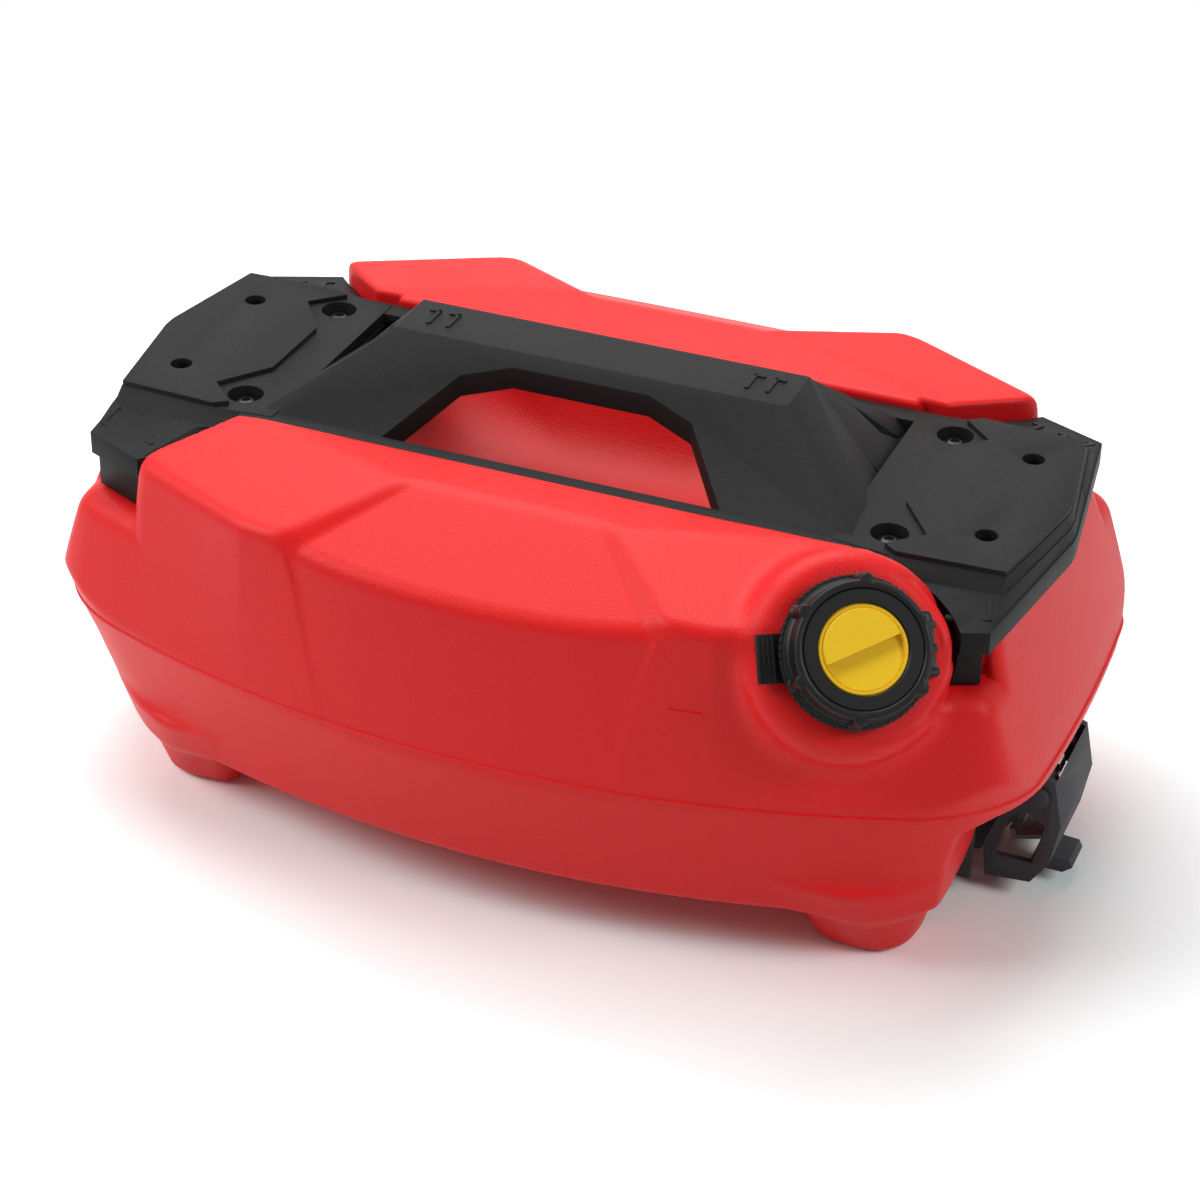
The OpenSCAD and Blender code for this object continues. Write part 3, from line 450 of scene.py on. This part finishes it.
def moulded(name, colour, roughness, grain, depth, mottle=0.06, specular=0.5):
    """Moulded plastic: a fine grain in the surface, and a slight unevenness of colour and gloss."""
    clouding, gloss_spread = 14.0, 0.05
    made = bpy.data.materials.new(name)
    made.use_nodes = True
    tree = made.node_tree
    plastic = tree.nodes["Principled BSDF"]
    plastic.inputs["Specular IOR Level"].default_value = specular
    place = tree.nodes.new("ShaderNodeTexCoord").outputs["Object"]
    peel = tree.nodes.new("ShaderNodeTexNoise")
    peel.inputs["Scale"].default_value = grain
    peel.inputs["Detail"].default_value = 2.0
    tree.links.new(place, peel.inputs["Vector"])
    bump = tree.nodes.new("ShaderNodeBump")
    bump.inputs["Strength"].default_value = 1.0
    bump.inputs["Distance"].default_value = depth
    tree.links.new(peel.outputs["Fac"], bump.inputs["Height"])
    tree.links.new(bump.outputs["Normal"], plastic.inputs["Normal"])
    cloud = tree.nodes.new("ShaderNodeTexNoise")
    cloud.inputs["Scale"].default_value = clouding
    cloud.inputs["Detail"].default_value = 4.0
    tree.links.new(place, cloud.inputs["Vector"])
    tint = tree.nodes.new("ShaderNodeMix")
    tint.data_type = "RGBA"
    tint.inputs["A"].default_value = (*[c * (1 - mottle) for c in colour], 1.0)
    tint.inputs["B"].default_value = (*[min(c * (1 + mottle), 1.0) for c in colour], 1.0)
    tree.links.new(cloud.outputs["Fac"], tint.inputs["Factor"])
    tree.links.new(tint.outputs["Result"], plastic.inputs["Base Color"])
    gloss = tree.nodes.new("ShaderNodeMapRange")
    gloss.inputs["To Min"].default_value = roughness - gloss_spread
    gloss.inputs["To Max"].default_value = roughness + gloss_spread
    tree.links.new(cloud.outputs["Fac"], gloss.inputs["Value"])
    tree.links.new(gloss.outputs["Result"], plastic.inputs["Roughness"])
    return made


red_shell = moulded("red_shell", (0.80, 0.0115, 0.0125),
                    roughness=0.42, grain=800.0, depth=0.00022, mottle=0.03, specular=0.25)
tank_mesh.materials.append(red_shell)
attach(tank, "can")
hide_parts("tank")


# Seam bead: the thin line of flash that the two mould halves leave round the red tank. It follows
# the seam, half sunk in the wall, and nodes sweep it along a line of points found on the surface.
def bead_tree():
    """Nodes that sweep a round bead along a closed line of edges."""
    tree = bpy.data.node_groups.new("bead_along_line", "GeometryNodeTree")
    for socket, kind in (("Geometry", "NodeSocketGeometry"), ("Radius", "NodeSocketFloat"),
                        ("Sides", "NodeSocketInt"), ("Finish", "NodeSocketMaterial")):
        tree.interface.new_socket(socket, in_out="INPUT", socket_type=kind)
    tree.interface.new_socket("Geometry", in_out="OUTPUT", socket_type="NodeSocketGeometry")
    given = tree.nodes.new("NodeGroupInput")
    line = tree.nodes.new("GeometryNodeMeshToCurve")
    tree.links.new(given.outputs["Geometry"], line.inputs["Mesh"])
    section = tree.nodes.new("GeometryNodeCurvePrimitiveCircle")
    tree.links.new(given.outputs["Sides"], section.inputs["Resolution"])
    tree.links.new(given.outputs["Radius"], section.inputs["Radius"])
    swept = tree.nodes.new("GeometryNodeCurveToMesh")
    tree.links.new(line.outputs["Curve"], swept.inputs["Curve"])
    tree.links.new(section.outputs["Curve"], swept.inputs["Profile Curve"])
    real = tree.nodes.new("GeometryNodeRealizeInstances")
    tree.links.new(swept.outputs["Mesh"], real.inputs["Geometry"])
    finish = tree.nodes.new("GeometryNodeSetMaterial")
    tree.links.new(real.outputs["Geometry"], finish.inputs["Geometry"])
    tree.links.new(given.outputs["Finish"], finish.inputs["Material"])
    result = tree.nodes.new("NodeGroupOutput")
    tree.links.new(finish.outputs["Geometry"], result.inputs["Geometry"])
    return tree


def worked_out(piece, tree, sizes):
    """Puts a node tree on a piece, its sizes given by input name, and keeps the mesh it makes."""
    nodes = piece.modifiers.new("nodes", "NODES")
    nodes.node_group = tree
    for item in tree.interface.items_tree:
        if item.in_out == "INPUT" and item.name in sizes:
            nodes[item.identifier] = sizes[item.name]
    return evaluated(piece)


BEAD_R, BEAD_Z, BEAD_POINTS, BEAD_SIDES = 1.0, SEAM_Z - 1.2, 640, 10
BEAD_NEAREST, BEAD_FURTHEST, HALVINGS = 120.0, 330.0, 40
bead_turn = np.linspace(0, 2 * math.pi, BEAD_POINTS, endpoint=False)
bead_level = np.full(BEAD_POINTS, BEAD_Z)
reach_low, reach_high = np.zeros(BEAD_POINTS), np.full(BEAD_POINTS, BEAD_FURTHEST)
for _ in range(HALVINGS):
    middle = (reach_low + reach_high) / 2
    held = tank_field(middle * np.cos(bead_turn), middle * np.sin(bead_turn), bead_level) < 0
    held |= middle < BEAD_NEAREST
    reach_low, reach_high = np.where(held, middle, reach_low), np.where(held, reach_high, middle)
bead_line = np.stack([reach_low * np.cos(bead_turn), reach_low * np.sin(bead_turn), bead_level], 1)
bead_edges = [(i, (i + 1) % BEAD_POINTS) for i in range(BEAD_POINTS)]
bead_mesh = bpy.data.meshes.new("seam_bead")
bead_mesh.from_pydata((bead_line * MM).tolist(), bead_edges, [])
seam_bead = linked("seam_bead", bead_mesh)
bead_mesh = worked_out(seam_bead, bead_tree(),
                       {"Radius": BEAD_R * MM, "Sides": BEAD_SIDES, "Finish": red_shell})
bead_form = bmesh.new()
bead_form.from_mesh(bead_mesh)
bmesh.ops.recalc_face_normals(bead_form, faces=bead_form.faces)
bead_form.to_mesh(bead_mesh)
bead_form.free()
bead_mesh.polygons.foreach_set("use_smooth", np.ones(len(bead_mesh.polygons), bool))
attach(seam_bead, "can")


# Fill mark: a short raised bar on the front of the tank, level with the fill line. It is part of
# the red moulding and stands less than a millimetre out of the wall.
MARK_AT, MARK_SIZE, MARK_ROUND = np.array([[113.0, -164.0, 157.0]]), (17.0, 1.6, 2.4), 0.5
mark_at = settled(tank_field, MARK_AT, 6)
mark_out = Vector(slope_of(tank_field, mark_at)[0]).normalized()
mark_along = (Vector((1, 0, 0)) - mark_out * mark_out.x).normalized()
mark_turn = Matrix((mark_along, -mark_out, mark_along.cross(-mark_out))).transposed().to_4x4()
mark_form = bmesh.new()
bmesh.ops.create_cube(mark_form, size=1.0)
mark_form.transform(Matrix.Scale(MM, 4) @ Matrix.Translation(mark_at[0]) @ mark_turn
                    @ Matrix.Diagonal((*MARK_SIZE, 1.0)))
bmesh.ops.bevel(mark_form, geom=mark_form.edges, offset=MARK_ROUND * MM, segments=2,
                affect="EDGES", profile=0.5)
bmesh.ops.recalc_face_normals(mark_form, faces=mark_form.faces)
mark_mesh = bpy.data.meshes.new("fill_mark")
mark_form.to_mesh(mark_mesh)
mark_form.free()
mark_mesh.materials.append(red_shell)
fill_mark = linked("fill_mark", mark_mesh)
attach(fill_mark, "can")


# Threaded inserts: brass sleeves moulded into the tank, four under the plate and four behind each
# latch. They stay as they are cut, with a turned brass finish.
insert_brass = moulded("insert_brass", (0.78, 0.56, 0.24),
                       roughness=0.32, grain=400.0, depth=0.00008)
insert_brass.node_tree.nodes["Principled BSDF"].inputs["Metallic"].default_value = 1.0
for name in ("plate_inserts", "latch_inserts"):
    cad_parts[name].data.materials.clear()
    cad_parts[name].data.materials.append(insert_brass)


# Carry plate: one moulding of dark grain-textured nylon that the four screws hold on the tank. Its
# edges are broken all round, and its wings and grip carry small raised ticks.
MERGE_WITHIN, FLAT_WITHIN = 0.00001, math.radians(0.8)
EDGE_OVER, EDGE_SEGMENTS, SHARP_OVER = math.radians(25.0), 2, math.radians(32)


def dressed(node, name, width):
    """A copy of a cut piece with its edges broken by a small round."""
    form = bmesh.new()
    form.from_mesh(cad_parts[node].data)
    bmesh.ops.remove_doubles(form, verts=form.verts, dist=MERGE_WITHIN)
    bmesh.ops.dissolve_limit(form, angle_limit=FLAT_WITHIN, verts=form.verts, edges=form.edges)
    mesh = bpy.data.meshes.new(name)
    form.to_mesh(mesh)
    form.free()
    piece = linked(name, mesh)
    rounding = piece.modifiers.new("rounding", "BEVEL")
    rounding.width = width
    rounding.segments = EDGE_SEGMENTS
    rounding.limit_method = "ANGLE"
    rounding.angle_limit = EDGE_OVER
    rounding.use_clamp_overlap = True
    rounding.miter_outer = "MITER_ARC"
    mesh = evaluated(piece)
    mesh.materials.clear()
    mesh.polygons.foreach_set("use_smooth", np.ones(len(mesh.polygons), bool))
    mesh.set_sharp_from_angle(angle=SHARP_OVER)
    return piece


plate_black = moulded("plate_black", (0.0095, 0.0093, 0.0095),
                      roughness=0.5, grain=1500.0, depth=0.00030, mottle=0.12, specular=0.13)
plate = dressed("carry_plate", "carry_plate_moulding", width=0.0012)
plate.data.materials.append(plate_black)
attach(plate, "can")
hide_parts("carry_plate")


# Plate ticks: raised bars moulded on the plate, each with a hooked end: three at each corner, but
# two beside the cap, and a pair at each end of the grip bar. Nodes lay out a row, and its copies
# lie on the plate's faces.
def tick_tree():
    """Nodes that repeat a hooked bar along a row: a leg along Y, and a hook along X at its end."""
    tree = bpy.data.node_groups.new("tick_row", "GeometryNodeTree")
    for socket, kind in (("Geometry", "NodeSocketGeometry"), ("Count", "NodeSocketInt"),
                        ("Pitch", "NodeSocketVector"), ("Leg", "NodeSocketVector"),
                        ("Hook", "NodeSocketVector"), ("Hook Place", "NodeSocketVector"),
                        ("Finish", "NodeSocketMaterial")):
        tree.interface.new_socket(socket, in_out="INPUT", socket_type=kind)
    tree.interface.new_socket("Geometry", in_out="OUTPUT", socket_type="NodeSocketGeometry")
    given = tree.nodes.new("NodeGroupInput")
    row = tree.nodes.new("GeometryNodeMeshLine")
    tree.links.new(given.outputs["Count"], row.inputs["Count"])
    tree.links.new(given.outputs["Pitch"], row.inputs["Offset"])
    leg, hook = tree.nodes.new("GeometryNodeMeshCube"), tree.nodes.new("GeometryNodeMeshCube")
    tree.links.new(given.outputs["Leg"], leg.inputs["Size"])
    tree.links.new(given.outputs["Hook"], hook.inputs["Size"])
    moved = tree.nodes.new("GeometryNodeTransform")
    tree.links.new(hook.outputs["Mesh"], moved.inputs["Geometry"])
    tree.links.new(given.outputs["Hook Place"], moved.inputs["Translation"])
    joined = tree.nodes.new("GeometryNodeJoinGeometry")
    tree.links.new(leg.outputs["Mesh"], joined.inputs["Geometry"])
    tree.links.new(moved.outputs["Geometry"], joined.inputs["Geometry"])
    placed = tree.nodes.new("GeometryNodeInstanceOnPoints")
    tree.links.new(row.outputs["Mesh"], placed.inputs["Points"])
    tree.links.new(joined.outputs["Geometry"], placed.inputs["Instance"])
    real = tree.nodes.new("GeometryNodeRealizeInstances")
    tree.links.new(placed.outputs["Instances"], real.inputs["Geometry"])
    finish = tree.nodes.new("GeometryNodeSetMaterial")
    tree.links.new(real.outputs["Geometry"], finish.inputs["Geometry"])
    tree.links.new(given.outputs["Finish"], finish.inputs["Material"])
    result = tree.nodes.new("NodeGroupOutput")
    tree.links.new(finish.outputs["Geometry"], result.inputs["Geometry"])
    return tree


def tick_row(name, tree, sizes):
    """The mesh of one row, worked out from the tree."""
    piece = linked(name, bpy.data.meshes.new(name))
    mesh = worked_out(piece, tree, sizes)
    bpy.data.objects.remove(piece)
    return mesh


def laid(mesh, origin, along, mirror, form):
    """Lays a row on the plate from above, from an origin in plan and along a way in plan."""
    down = Vector((0, 0, -1))
    x = Vector((*along, 0)).normalized()
    y = Vector((-x.y, x.x, 0))
    made = []
    for vertex in mesh.vertices:
        place = (Vector((*origin, OVER_PLATE)) + x * vertex.co.x + y * vertex.co.y) * MM
        hit = plate_face.ray_cast(place, down)[0]
        lifted = hit.z + vertex.co.z * MM
        made.append(form.verts.new((hit.x * mirror[0], hit.y * mirror[1], lifted)))
    for polygon in mesh.polygons:
        corners = [made[i] for i in polygon.vertices]
        form.faces.new(corners[::-1] if mirror[0] * mirror[1] < 0 else corners)


ticks = tick_tree()
WING_TICKS = {"Count": 3, "Pitch": (15.5, 0.0, 0.0), "Leg": (2.4, 13.0, 1.8),
              "Hook": (6.4, 2.4, 1.8), "Hook Place": (2.0, -5.3, 0.0), "Finish": plate_black}
BAR_TICKS = {"Count": 2, "Pitch": (11.0, 0.0, 0.0), "Leg": (2.2, 16.0, 1.8),
             "Hook": (6.4, 2.2, 1.8), "Hook Place": (2.1, 6.9, 0.0), "Finish": plate_black}
WING_TICKS_AT, WING_EDGE, BAR_TICKS_AT = (236.0, 88.0), (-36.0, 10.5), (82.0, 2.0)
OVER_PLATE, TICK_ROUND = 300.0, 0.0004
plate_face = BVHTree.FromPolygons([v.co for v in plate.data.vertices],
                                  [p.vertices for p in plate.data.polygons])
wing_row = tick_row("wing_row", ticks, WING_TICKS)
short_row = tick_row("short_row", ticks, {**WING_TICKS, "Count": 2})
bar_row = tick_row("bar_row", ticks, BAR_TICKS)
tick_form = bmesh.new()
for mx in (1, -1):
    for my in (1, -1):
        beside_cap = (mx, my) == (1, -1)
        laid(short_row if beside_cap else wing_row, WING_TICKS_AT, WING_EDGE, (mx, my), tick_form)
    laid(bar_row, BAR_TICKS_AT, (1, 0), (mx, 1), tick_form)
tick_mesh = bpy.data.meshes.new("plate_ticks")
tick_form.to_mesh(tick_mesh)
tick_form.free()
tick_set = linked("plate_ticks", tick_mesh)
edge_round = tick_set.modifiers.new("rounding", "BEVEL")
edge_round.width, edge_round.segments = TICK_ROUND, 2
tick_mesh = evaluated(tick_set)
tick_mesh.materials.clear()
tick_mesh.materials.append(plate_black)
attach(tick_set, "can")


# Plate screws: four black-coated steel button-head screws. They stand in counterbored seats in the
# plate and run into the brass inserts under it.
screw_black = moulded("screw_black", (0.012, 0.012, 0.012),
                      roughness=0.3, grain=700.0, depth=0.00005, mottle=0.06, specular=0.4)
screws = dressed("plate_screws", "plate_screw_set", width=0.0004)
screws.data.materials.append(screw_black)
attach(screws, "can")
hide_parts("plate_screws")


# Child-lock ring: a black polypropylene ring held under the cap, with a bumped pad at its right and
# room at its left for the finger tab, which bends down to free the cap's teeth.
cap_black = moulded("cap_black", (0.0045, 0.0045, 0.0045),
                    roughness=0.36, grain=500.0, depth=0.00006, mottle=0.06, specular=0.2)
ring = dressed("lock_ring", "lock_ring_moulding", width=0.0007)
ring.data.materials.append(cap_black)
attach(ring, "can")
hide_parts("lock_ring")
tab = dressed("lock_tab", "lock_tab_moulding", width=0.0005)
tab.data.materials.append(cap_black)
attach(tab, "tab")
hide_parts("lock_tab")


# Filler neck: part of the tank's red moulding, with two turns of a low, rounded screw thread that
# the collar runs on. It shows when the cap is off its seat.
NECK_H, NECK_R, NECK_SUNK, NECK_EDGE = 18.0, NECK_BORE / 2 + 5, 20.0, 0.8
THREAD_RISE, THREAD_TURNS, THREAD_PITCH, THREAD_FROM, THREAD_END = 0.35, 2.0, 6.0, 5.0, 0.15
NECK_STEP, NECK_SIDES, TURNED_SHARP = 0.7, 180, math.radians(38)


def on_neck(x, y, z):
    """Points of the neck's own frame, in millimetres, as points of the can in metres."""
    local = NECK_AT + np.multiply.outer(x, NECK_DOWN) + np.multiply.outer(y, NECK_RIGHT)
    return (local + np.multiply.outer(z, NECK_OUT)) * MM


def turned(name, radius, height, angles):
    """A closed turned piece: radius and height are tables of profile steps by angles."""
    rows, columns = radius.shape
    place = on_neck(radius * np.cos(angles), radius * np.sin(angles), height)
    index = np.arange(rows * columns).reshape(rows, columns)
    after = np.roll(index, -1, 1)
    below, beyond = np.roll(index, -1, 0), np.roll(after, -1, 0)
    faces = np.stack([index, after, beyond, below], -1).reshape(-1, 4)
    mesh = bpy.data.meshes.new(name)
    mesh.from_pydata(place.reshape(-1, 3).tolist(), [], faces.tolist())
    mesh.polygons.foreach_set("use_smooth", np.ones(len(mesh.polygons), bool))
    mesh.set_sharp_from_angle(angle=TURNED_SHARP)
    return linked(name, mesh)


def profile(corners, step):
    """Points along a closed profile of (radius, height) corners, no further apart than step."""
    found = []
    for (r0, z0), (r1, z1) in zip(corners, corners[1:] + corners[:1]):
        count = max(1, math.ceil(math.hypot(r1 - r0, z1 - z0) / step))
        found += [(r0 + (r1 - r0) * i / count, z0 + (z1 - z0) * i / count) for i in range(count)]
    return np.array(found)


angles = np.linspace(0, 2 * math.pi, NECK_SIDES, endpoint=False)
steps = profile([(NECK_BORE / 2, -NECK_SUNK), (NECK_R, -NECK_SUNK), (NECK_R, NECK_H - NECK_EDGE),
                 (NECK_R - NECK_EDGE, NECK_H), (NECK_BORE / 2 + NECK_EDGE, NECK_H),
                 (NECK_BORE / 2, NECK_H - NECK_EDGE)], NECK_STEP)
radius = np.repeat(steps[:, :1], len(angles), 1)
height = np.repeat(steps[:, 1:], len(angles), 1)
turns = (height - THREAD_FROM) / THREAD_PITCH - angles / (2 * math.pi)
crest = np.cos(2 * math.pi * turns) * 0.5 + 0.5
started = np.clip(turns / THREAD_END + 0.5, 0, 1)
started = started * np.clip((THREAD_TURNS - turns) / THREAD_END, 0, 1)
radius = radius + np.where(radius > NECK_R - 0.1, THREAD_RISE * crest ** 2 * started, 0)
neck = turned("neck_thread", radius, height, angles)
neck.data.materials.append(red_shell)
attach(neck, "can")


# Stopper: a yellow disc that the collar presses on the neck, sealed by a flat black rubber gasket.
# Its sunk lower half gives the finger a step to push on.
GASKET_T, FLANGE_T, COLLAR_TOP, COLLAR_OPEN = 2.0, 2.5, NECK_H + 8.5, 43.0
DISC_R, DISC_TOP, DISC_EDGE, DISC_SHELF = COLLAR_OPEN / 2 - 0.3, COLLAR_TOP - 1.2, 0.5, 1.1
STEP_R, STEP_DEEP, STEP_TURN, STEP_BEND, STEP_SUNK = 18.4, 2.8, math.radians(19.4), 1.3, 0.2
SEAT_GAP, PLUG_GAP, PLUG_DEEP, PLUG_EDGE, GROOVE_DEEP = 0.05, 0.6, 8.0, 0.8, 0.4
HALF_SIDES, SLOPE_ROWS, DISC_MERGE, DISC_SHARP = 48, 8, 0.000005, math.radians(30)
gasket_rubber = moulded("gasket_rubber", (0.02, 0.02, 0.02),
                        roughness=0.7, grain=900.0, depth=0.0001)
gasket = dressed("stopper_gasket", "stopper_gasket_ring", width=0.0004)
gasket.data.materials.append(gasket_rubber)
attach(gasket, "stopper")
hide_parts("stopper_gasket")

flange_z = NECK_H + GASKET_T + SEAT_GAP
flange_top = flange_z + FLANGE_T
plug_r, plug_end = NECK_BORE / 2 - PLUG_GAP, NECK_H - PLUG_DEEP
disc_form = bmesh.new()
shelf, step_foot = DISC_TOP - DISC_SHELF, STEP_R + DISC_EDGE
outer = [(0.0, plug_end), (plug_r - 0.6, plug_end), (plug_r, plug_end + PLUG_EDGE),
         (plug_r, flange_z), (NECK_R - DISC_EDGE, flange_z), (NECK_R, flange_z + DISC_EDGE),
         (NECK_R, flange_top - DISC_EDGE), (NECK_R - DISC_EDGE, flange_top),
         (DISC_R, flange_top), (DISC_R, shelf - DISC_EDGE),
         (DISC_R - DISC_EDGE, shelf), (STEP_R + 1.2, shelf), (STEP_R + 0.9, shelf - GROOVE_DEEP),
         (step_foot, shelf - GROOVE_DEEP), (step_foot, shelf)]
step_line = np.array([-math.sin(STEP_TURN), math.cos(STEP_TURN)])
step_up = np.array([-math.cos(STEP_TURN), -math.sin(STEP_TURN)])


def disc_point(a, b, z):
    """A point of the disc, a along its step line, b above it and z out of the neck."""
    flat = a * step_line + b * step_up
    return disc_form.verts.new(on_neck(flat[0], flat[1], z))


rings = []
for r, z in outer:
    circle = [math.pi * i / HALF_SIDES for i in range(2 * HALF_SIDES)]
    rings.append([disc_point(r * math.cos(t), r * math.sin(t), z) for t in circle] if r else
                 [disc_point(0, 0, z)])
for low, high in zip(rings, rings[1:]):
    for i in range(2 * HALF_SIDES):
        k = (i + 1) % (2 * HALF_SIDES)
        if len(low) == 1:
            disc_form.faces.new((low[0], high[k], high[i]))
        else:
            disc_form.faces.new((low[i], low[k], high[k], high[i]))
bends = [math.pi * i / HALF_SIDES for i in range(HALF_SIDES + 1)]
plateau = [disc_point(STEP_R * math.cos(t), STEP_R * math.sin(t), DISC_TOP) for t in bends]
plateau_foot = [disc_point(step_foot * math.cos(t), step_foot * math.sin(t), DISC_TOP - DISC_EDGE)
                for t in bends]
rim = rings[-1]
disc_form.faces.new(plateau)
for i in range(HALF_SIDES):
    disc_form.faces.new((plateau_foot[i], plateau_foot[i + 1], plateau[i + 1], plateau[i]))
    disc_form.faces.new((rim[i], rim[i + 1], plateau_foot[i + 1], plateau_foot[i]))
slope_rows = []
for j in range(SLOPE_ROWS + 1):
    row = []
    for t in bends:
        a, depth = step_foot * math.cos(t), step_foot * math.sin(t) * j / SLOPE_ROWS
        sunk = shelf - STEP_SUNK - STEP_DEEP * (1 - depth / step_foot) ** STEP_BEND
        row.append(disc_point(a, -depth, sunk))
    slope_rows.append(row)
for low, high in zip(slope_rows, slope_rows[1:]):
    for i in range(HALF_SIDES):
        disc_form.faces.new((low[i], low[i + 1], high[i + 1], high[i]))
lip = [rim[0]] + [rim[2 * HALF_SIDES - i] for i in range(1, HALF_SIDES + 1)]
for i in range(HALF_SIDES):
    disc_form.faces.new((slope_rows[-1][i], slope_rows[-1][i + 1], lip[i + 1], lip[i]))
    disc_form.faces.new((plateau[i], plateau[i + 1], slope_rows[0][i + 1], slope_rows[0][i]))
bmesh.ops.remove_doubles(disc_form, verts=disc_form.verts, dist=DISC_MERGE)
bmesh.ops.recalc_face_normals(disc_form, faces=disc_form.faces)
disc_mesh = bpy.data.meshes.new("stopper_disc_moulding")
disc_form.to_mesh(disc_mesh)
disc_form.free()
disc_mesh.polygons.foreach_set("use_smooth", np.ones(len(disc_mesh.polygons), bool))
disc_mesh.set_sharp_from_angle(angle=DISC_SHARP)
disc_yellow = moulded("disc_yellow", (1.0, 0.62, 0.014),
                      roughness=0.38, grain=700.0, depth=0.00008, mottle=0.02, specular=0.3)
disc = linked("stopper_disc_moulding", disc_mesh)
disc_mesh.materials.append(disc_yellow)
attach(disc, "stopper")
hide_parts("stopper_disc")


# Cap collar: a black polypropylene screw ring with a rounded rim, six grip nubs and a skirt of
# slanted ratchet teeth that the lock tab catches. It turns on the neck's thread and lifts the
# stopper with it.
COLLAR_R, SKIRT_R, SKIRT_Z, SKIRT_T, TEETH, NUBS = 32.5, 36.5, 4.7, 4.5, 60, 6
TOOTH_DEEP, TOOTH_LEAN, NUB_R, NUB_FIRST = 1.4, 0.9, 3.2, math.radians(53)
RIM_R, RIM_STEP, SKIRT_EDGE, COLLAR_STEP, STEPS_PER_TOOTH = 2.2, 15, 0.4, 0.8, 12
BORE_GAP, CEILING_GAP, FACE_SUNK, FACE_EDGE = 0.4, 0.5, 1.3, 0.5
TOOTH_BAND, TOOTH_SLANT = 0.9, 1.25
rim_turns = [math.radians(t) for t in range(0, 181, RIM_STEP)]
rim_arc = [(COLLAR_R - RIM_R + RIM_R * math.cos(t), COLLAR_TOP - RIM_R + RIM_R * math.sin(t))
           for t in rim_turns]
skirt_top, rim_in, face_z = SKIRT_Z + SKIRT_T, COLLAR_R - 2 * RIM_R, COLLAR_TOP - FACE_SUNK
inner_r, ceiling_z = NECK_R + BORE_GAP, NECK_H + GASKET_T + FLANGE_T + CEILING_GAP
skirt = [(inner_r, SKIRT_Z), (SKIRT_R - SKIRT_EDGE, SKIRT_Z), (SKIRT_R, SKIRT_Z + SKIRT_EDGE),
         (SKIRT_R, skirt_top - SKIRT_EDGE), (SKIRT_R - SKIRT_EDGE, skirt_top)]
waist = [(COLLAR_R + 2.2, skirt_top), (COLLAR_R + 1.4, skirt_top + 0.5),
         (COLLAR_R + 1.2, skirt_top + 2.2), (COLLAR_R, skirt_top + 3.2)]
mouth = [(rim_in, COLLAR_TOP - RIM_R + 0.6), (rim_in - 0.3, face_z),
         (COLLAR_OPEN / 2 + FACE_EDGE, face_z), (COLLAR_OPEN / 2, face_z - FACE_EDGE),
         (COLLAR_OPEN / 2, ceiling_z), (inner_r, ceiling_z)]
steps = profile(skirt + waist + rim_arc + mouth, COLLAR_STEP)
angles = np.linspace(0, 2 * math.pi, STEPS_PER_TOOTH * TEETH, endpoint=False)
radius = np.repeat(steps[:, :1], len(angles), 1)
height = np.repeat(steps[:, 1:], len(angles), 1)
phase = TEETH * angles / (2 * math.pi) + TOOTH_LEAN * (height - SKIRT_Z) / SKIRT_T
bite = np.abs((phase % 1.0) * TOOTH_SLANT - 1).clip(0, 1)
on_skirt = (radius > SKIRT_R - TOOTH_BAND) & (height < skirt_top + 0.1)
radius = radius - np.where(on_skirt, TOOTH_DEEP * bite, 0)
apart = (angles - NUB_FIRST + math.pi / NUBS) % (2 * math.pi / NUBS) - math.pi / NUBS
swell = np.sqrt(np.clip(1 - (apart * COLLAR_R / NUB_R) ** 2, 0, 1))
on_side = (radius > COLLAR_R - RIM_R) & (height > skirt_top + 1)
fade = np.clip((radius - COLLAR_R + RIM_R) / RIM_R, 0, 1) ** 0.5
radius = radius + np.where(on_side, NUB_R * swell * fade, 0)
collar = turned("cap_collar_moulding", radius, height, angles)
collar.data.materials.append(cap_black)
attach(collar, "collar")
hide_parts("cap_collar")


# Latches: under each end four zinc-plated screws hold a black moulded bracket in the tank's pocket.
# A black lever swings on a pin in its ears, against a steel torsion spring, and a catch in the
# lever hooks the rack's bar. The catch is coloured pale grey as a painted highlight: it stands for
# the glint in the lever's dark window.
moulded("latch_black", (0.008, 0.008, 0.008),
        roughness=0.4, grain=900.0, depth=0.00012, mottle=0.06, specular=0.25)
latch_steel = moulded("latch_steel", (0.55, 0.55, 0.56), roughness=0.34, grain=600.0, depth=0.00004)
latch_steel.node_tree.nodes["Principled BSDF"].inputs["Metallic"].default_value = 1.0
# The pale grey of the catch is a painted highlight, standing in for the glint in the lever's
# window.
moulded("catch_grey", (0.30, 0.30, 0.31), roughness=0.4, grain=600.0, depth=0.00006)
for side in ("right", "left"):
    for part, body, width, finish in (("housing", "can", 0.0010, "latch_black"),
                                      ("screws", "can", 0.0004, "latch_steel"),
                                      ("pin", "lever_" + side, 0.0006, "latch_black"),
                                      ("lever", "lever_" + side, 0.0012, "latch_black"),
                                      ("catch", "lever_" + side, 0.0005, "catch_grey")):
        node = "latch_%s_%s" % (part, side)
        piece = dressed(node, node + "_moulding", width)
        piece.data.materials.append(bpy.data.materials[finish])
        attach(piece, body)
        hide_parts(node)
    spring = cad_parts["latch_spring_" + side]
    spring.data.materials.clear()
    spring.data.materials.append(latch_steel)
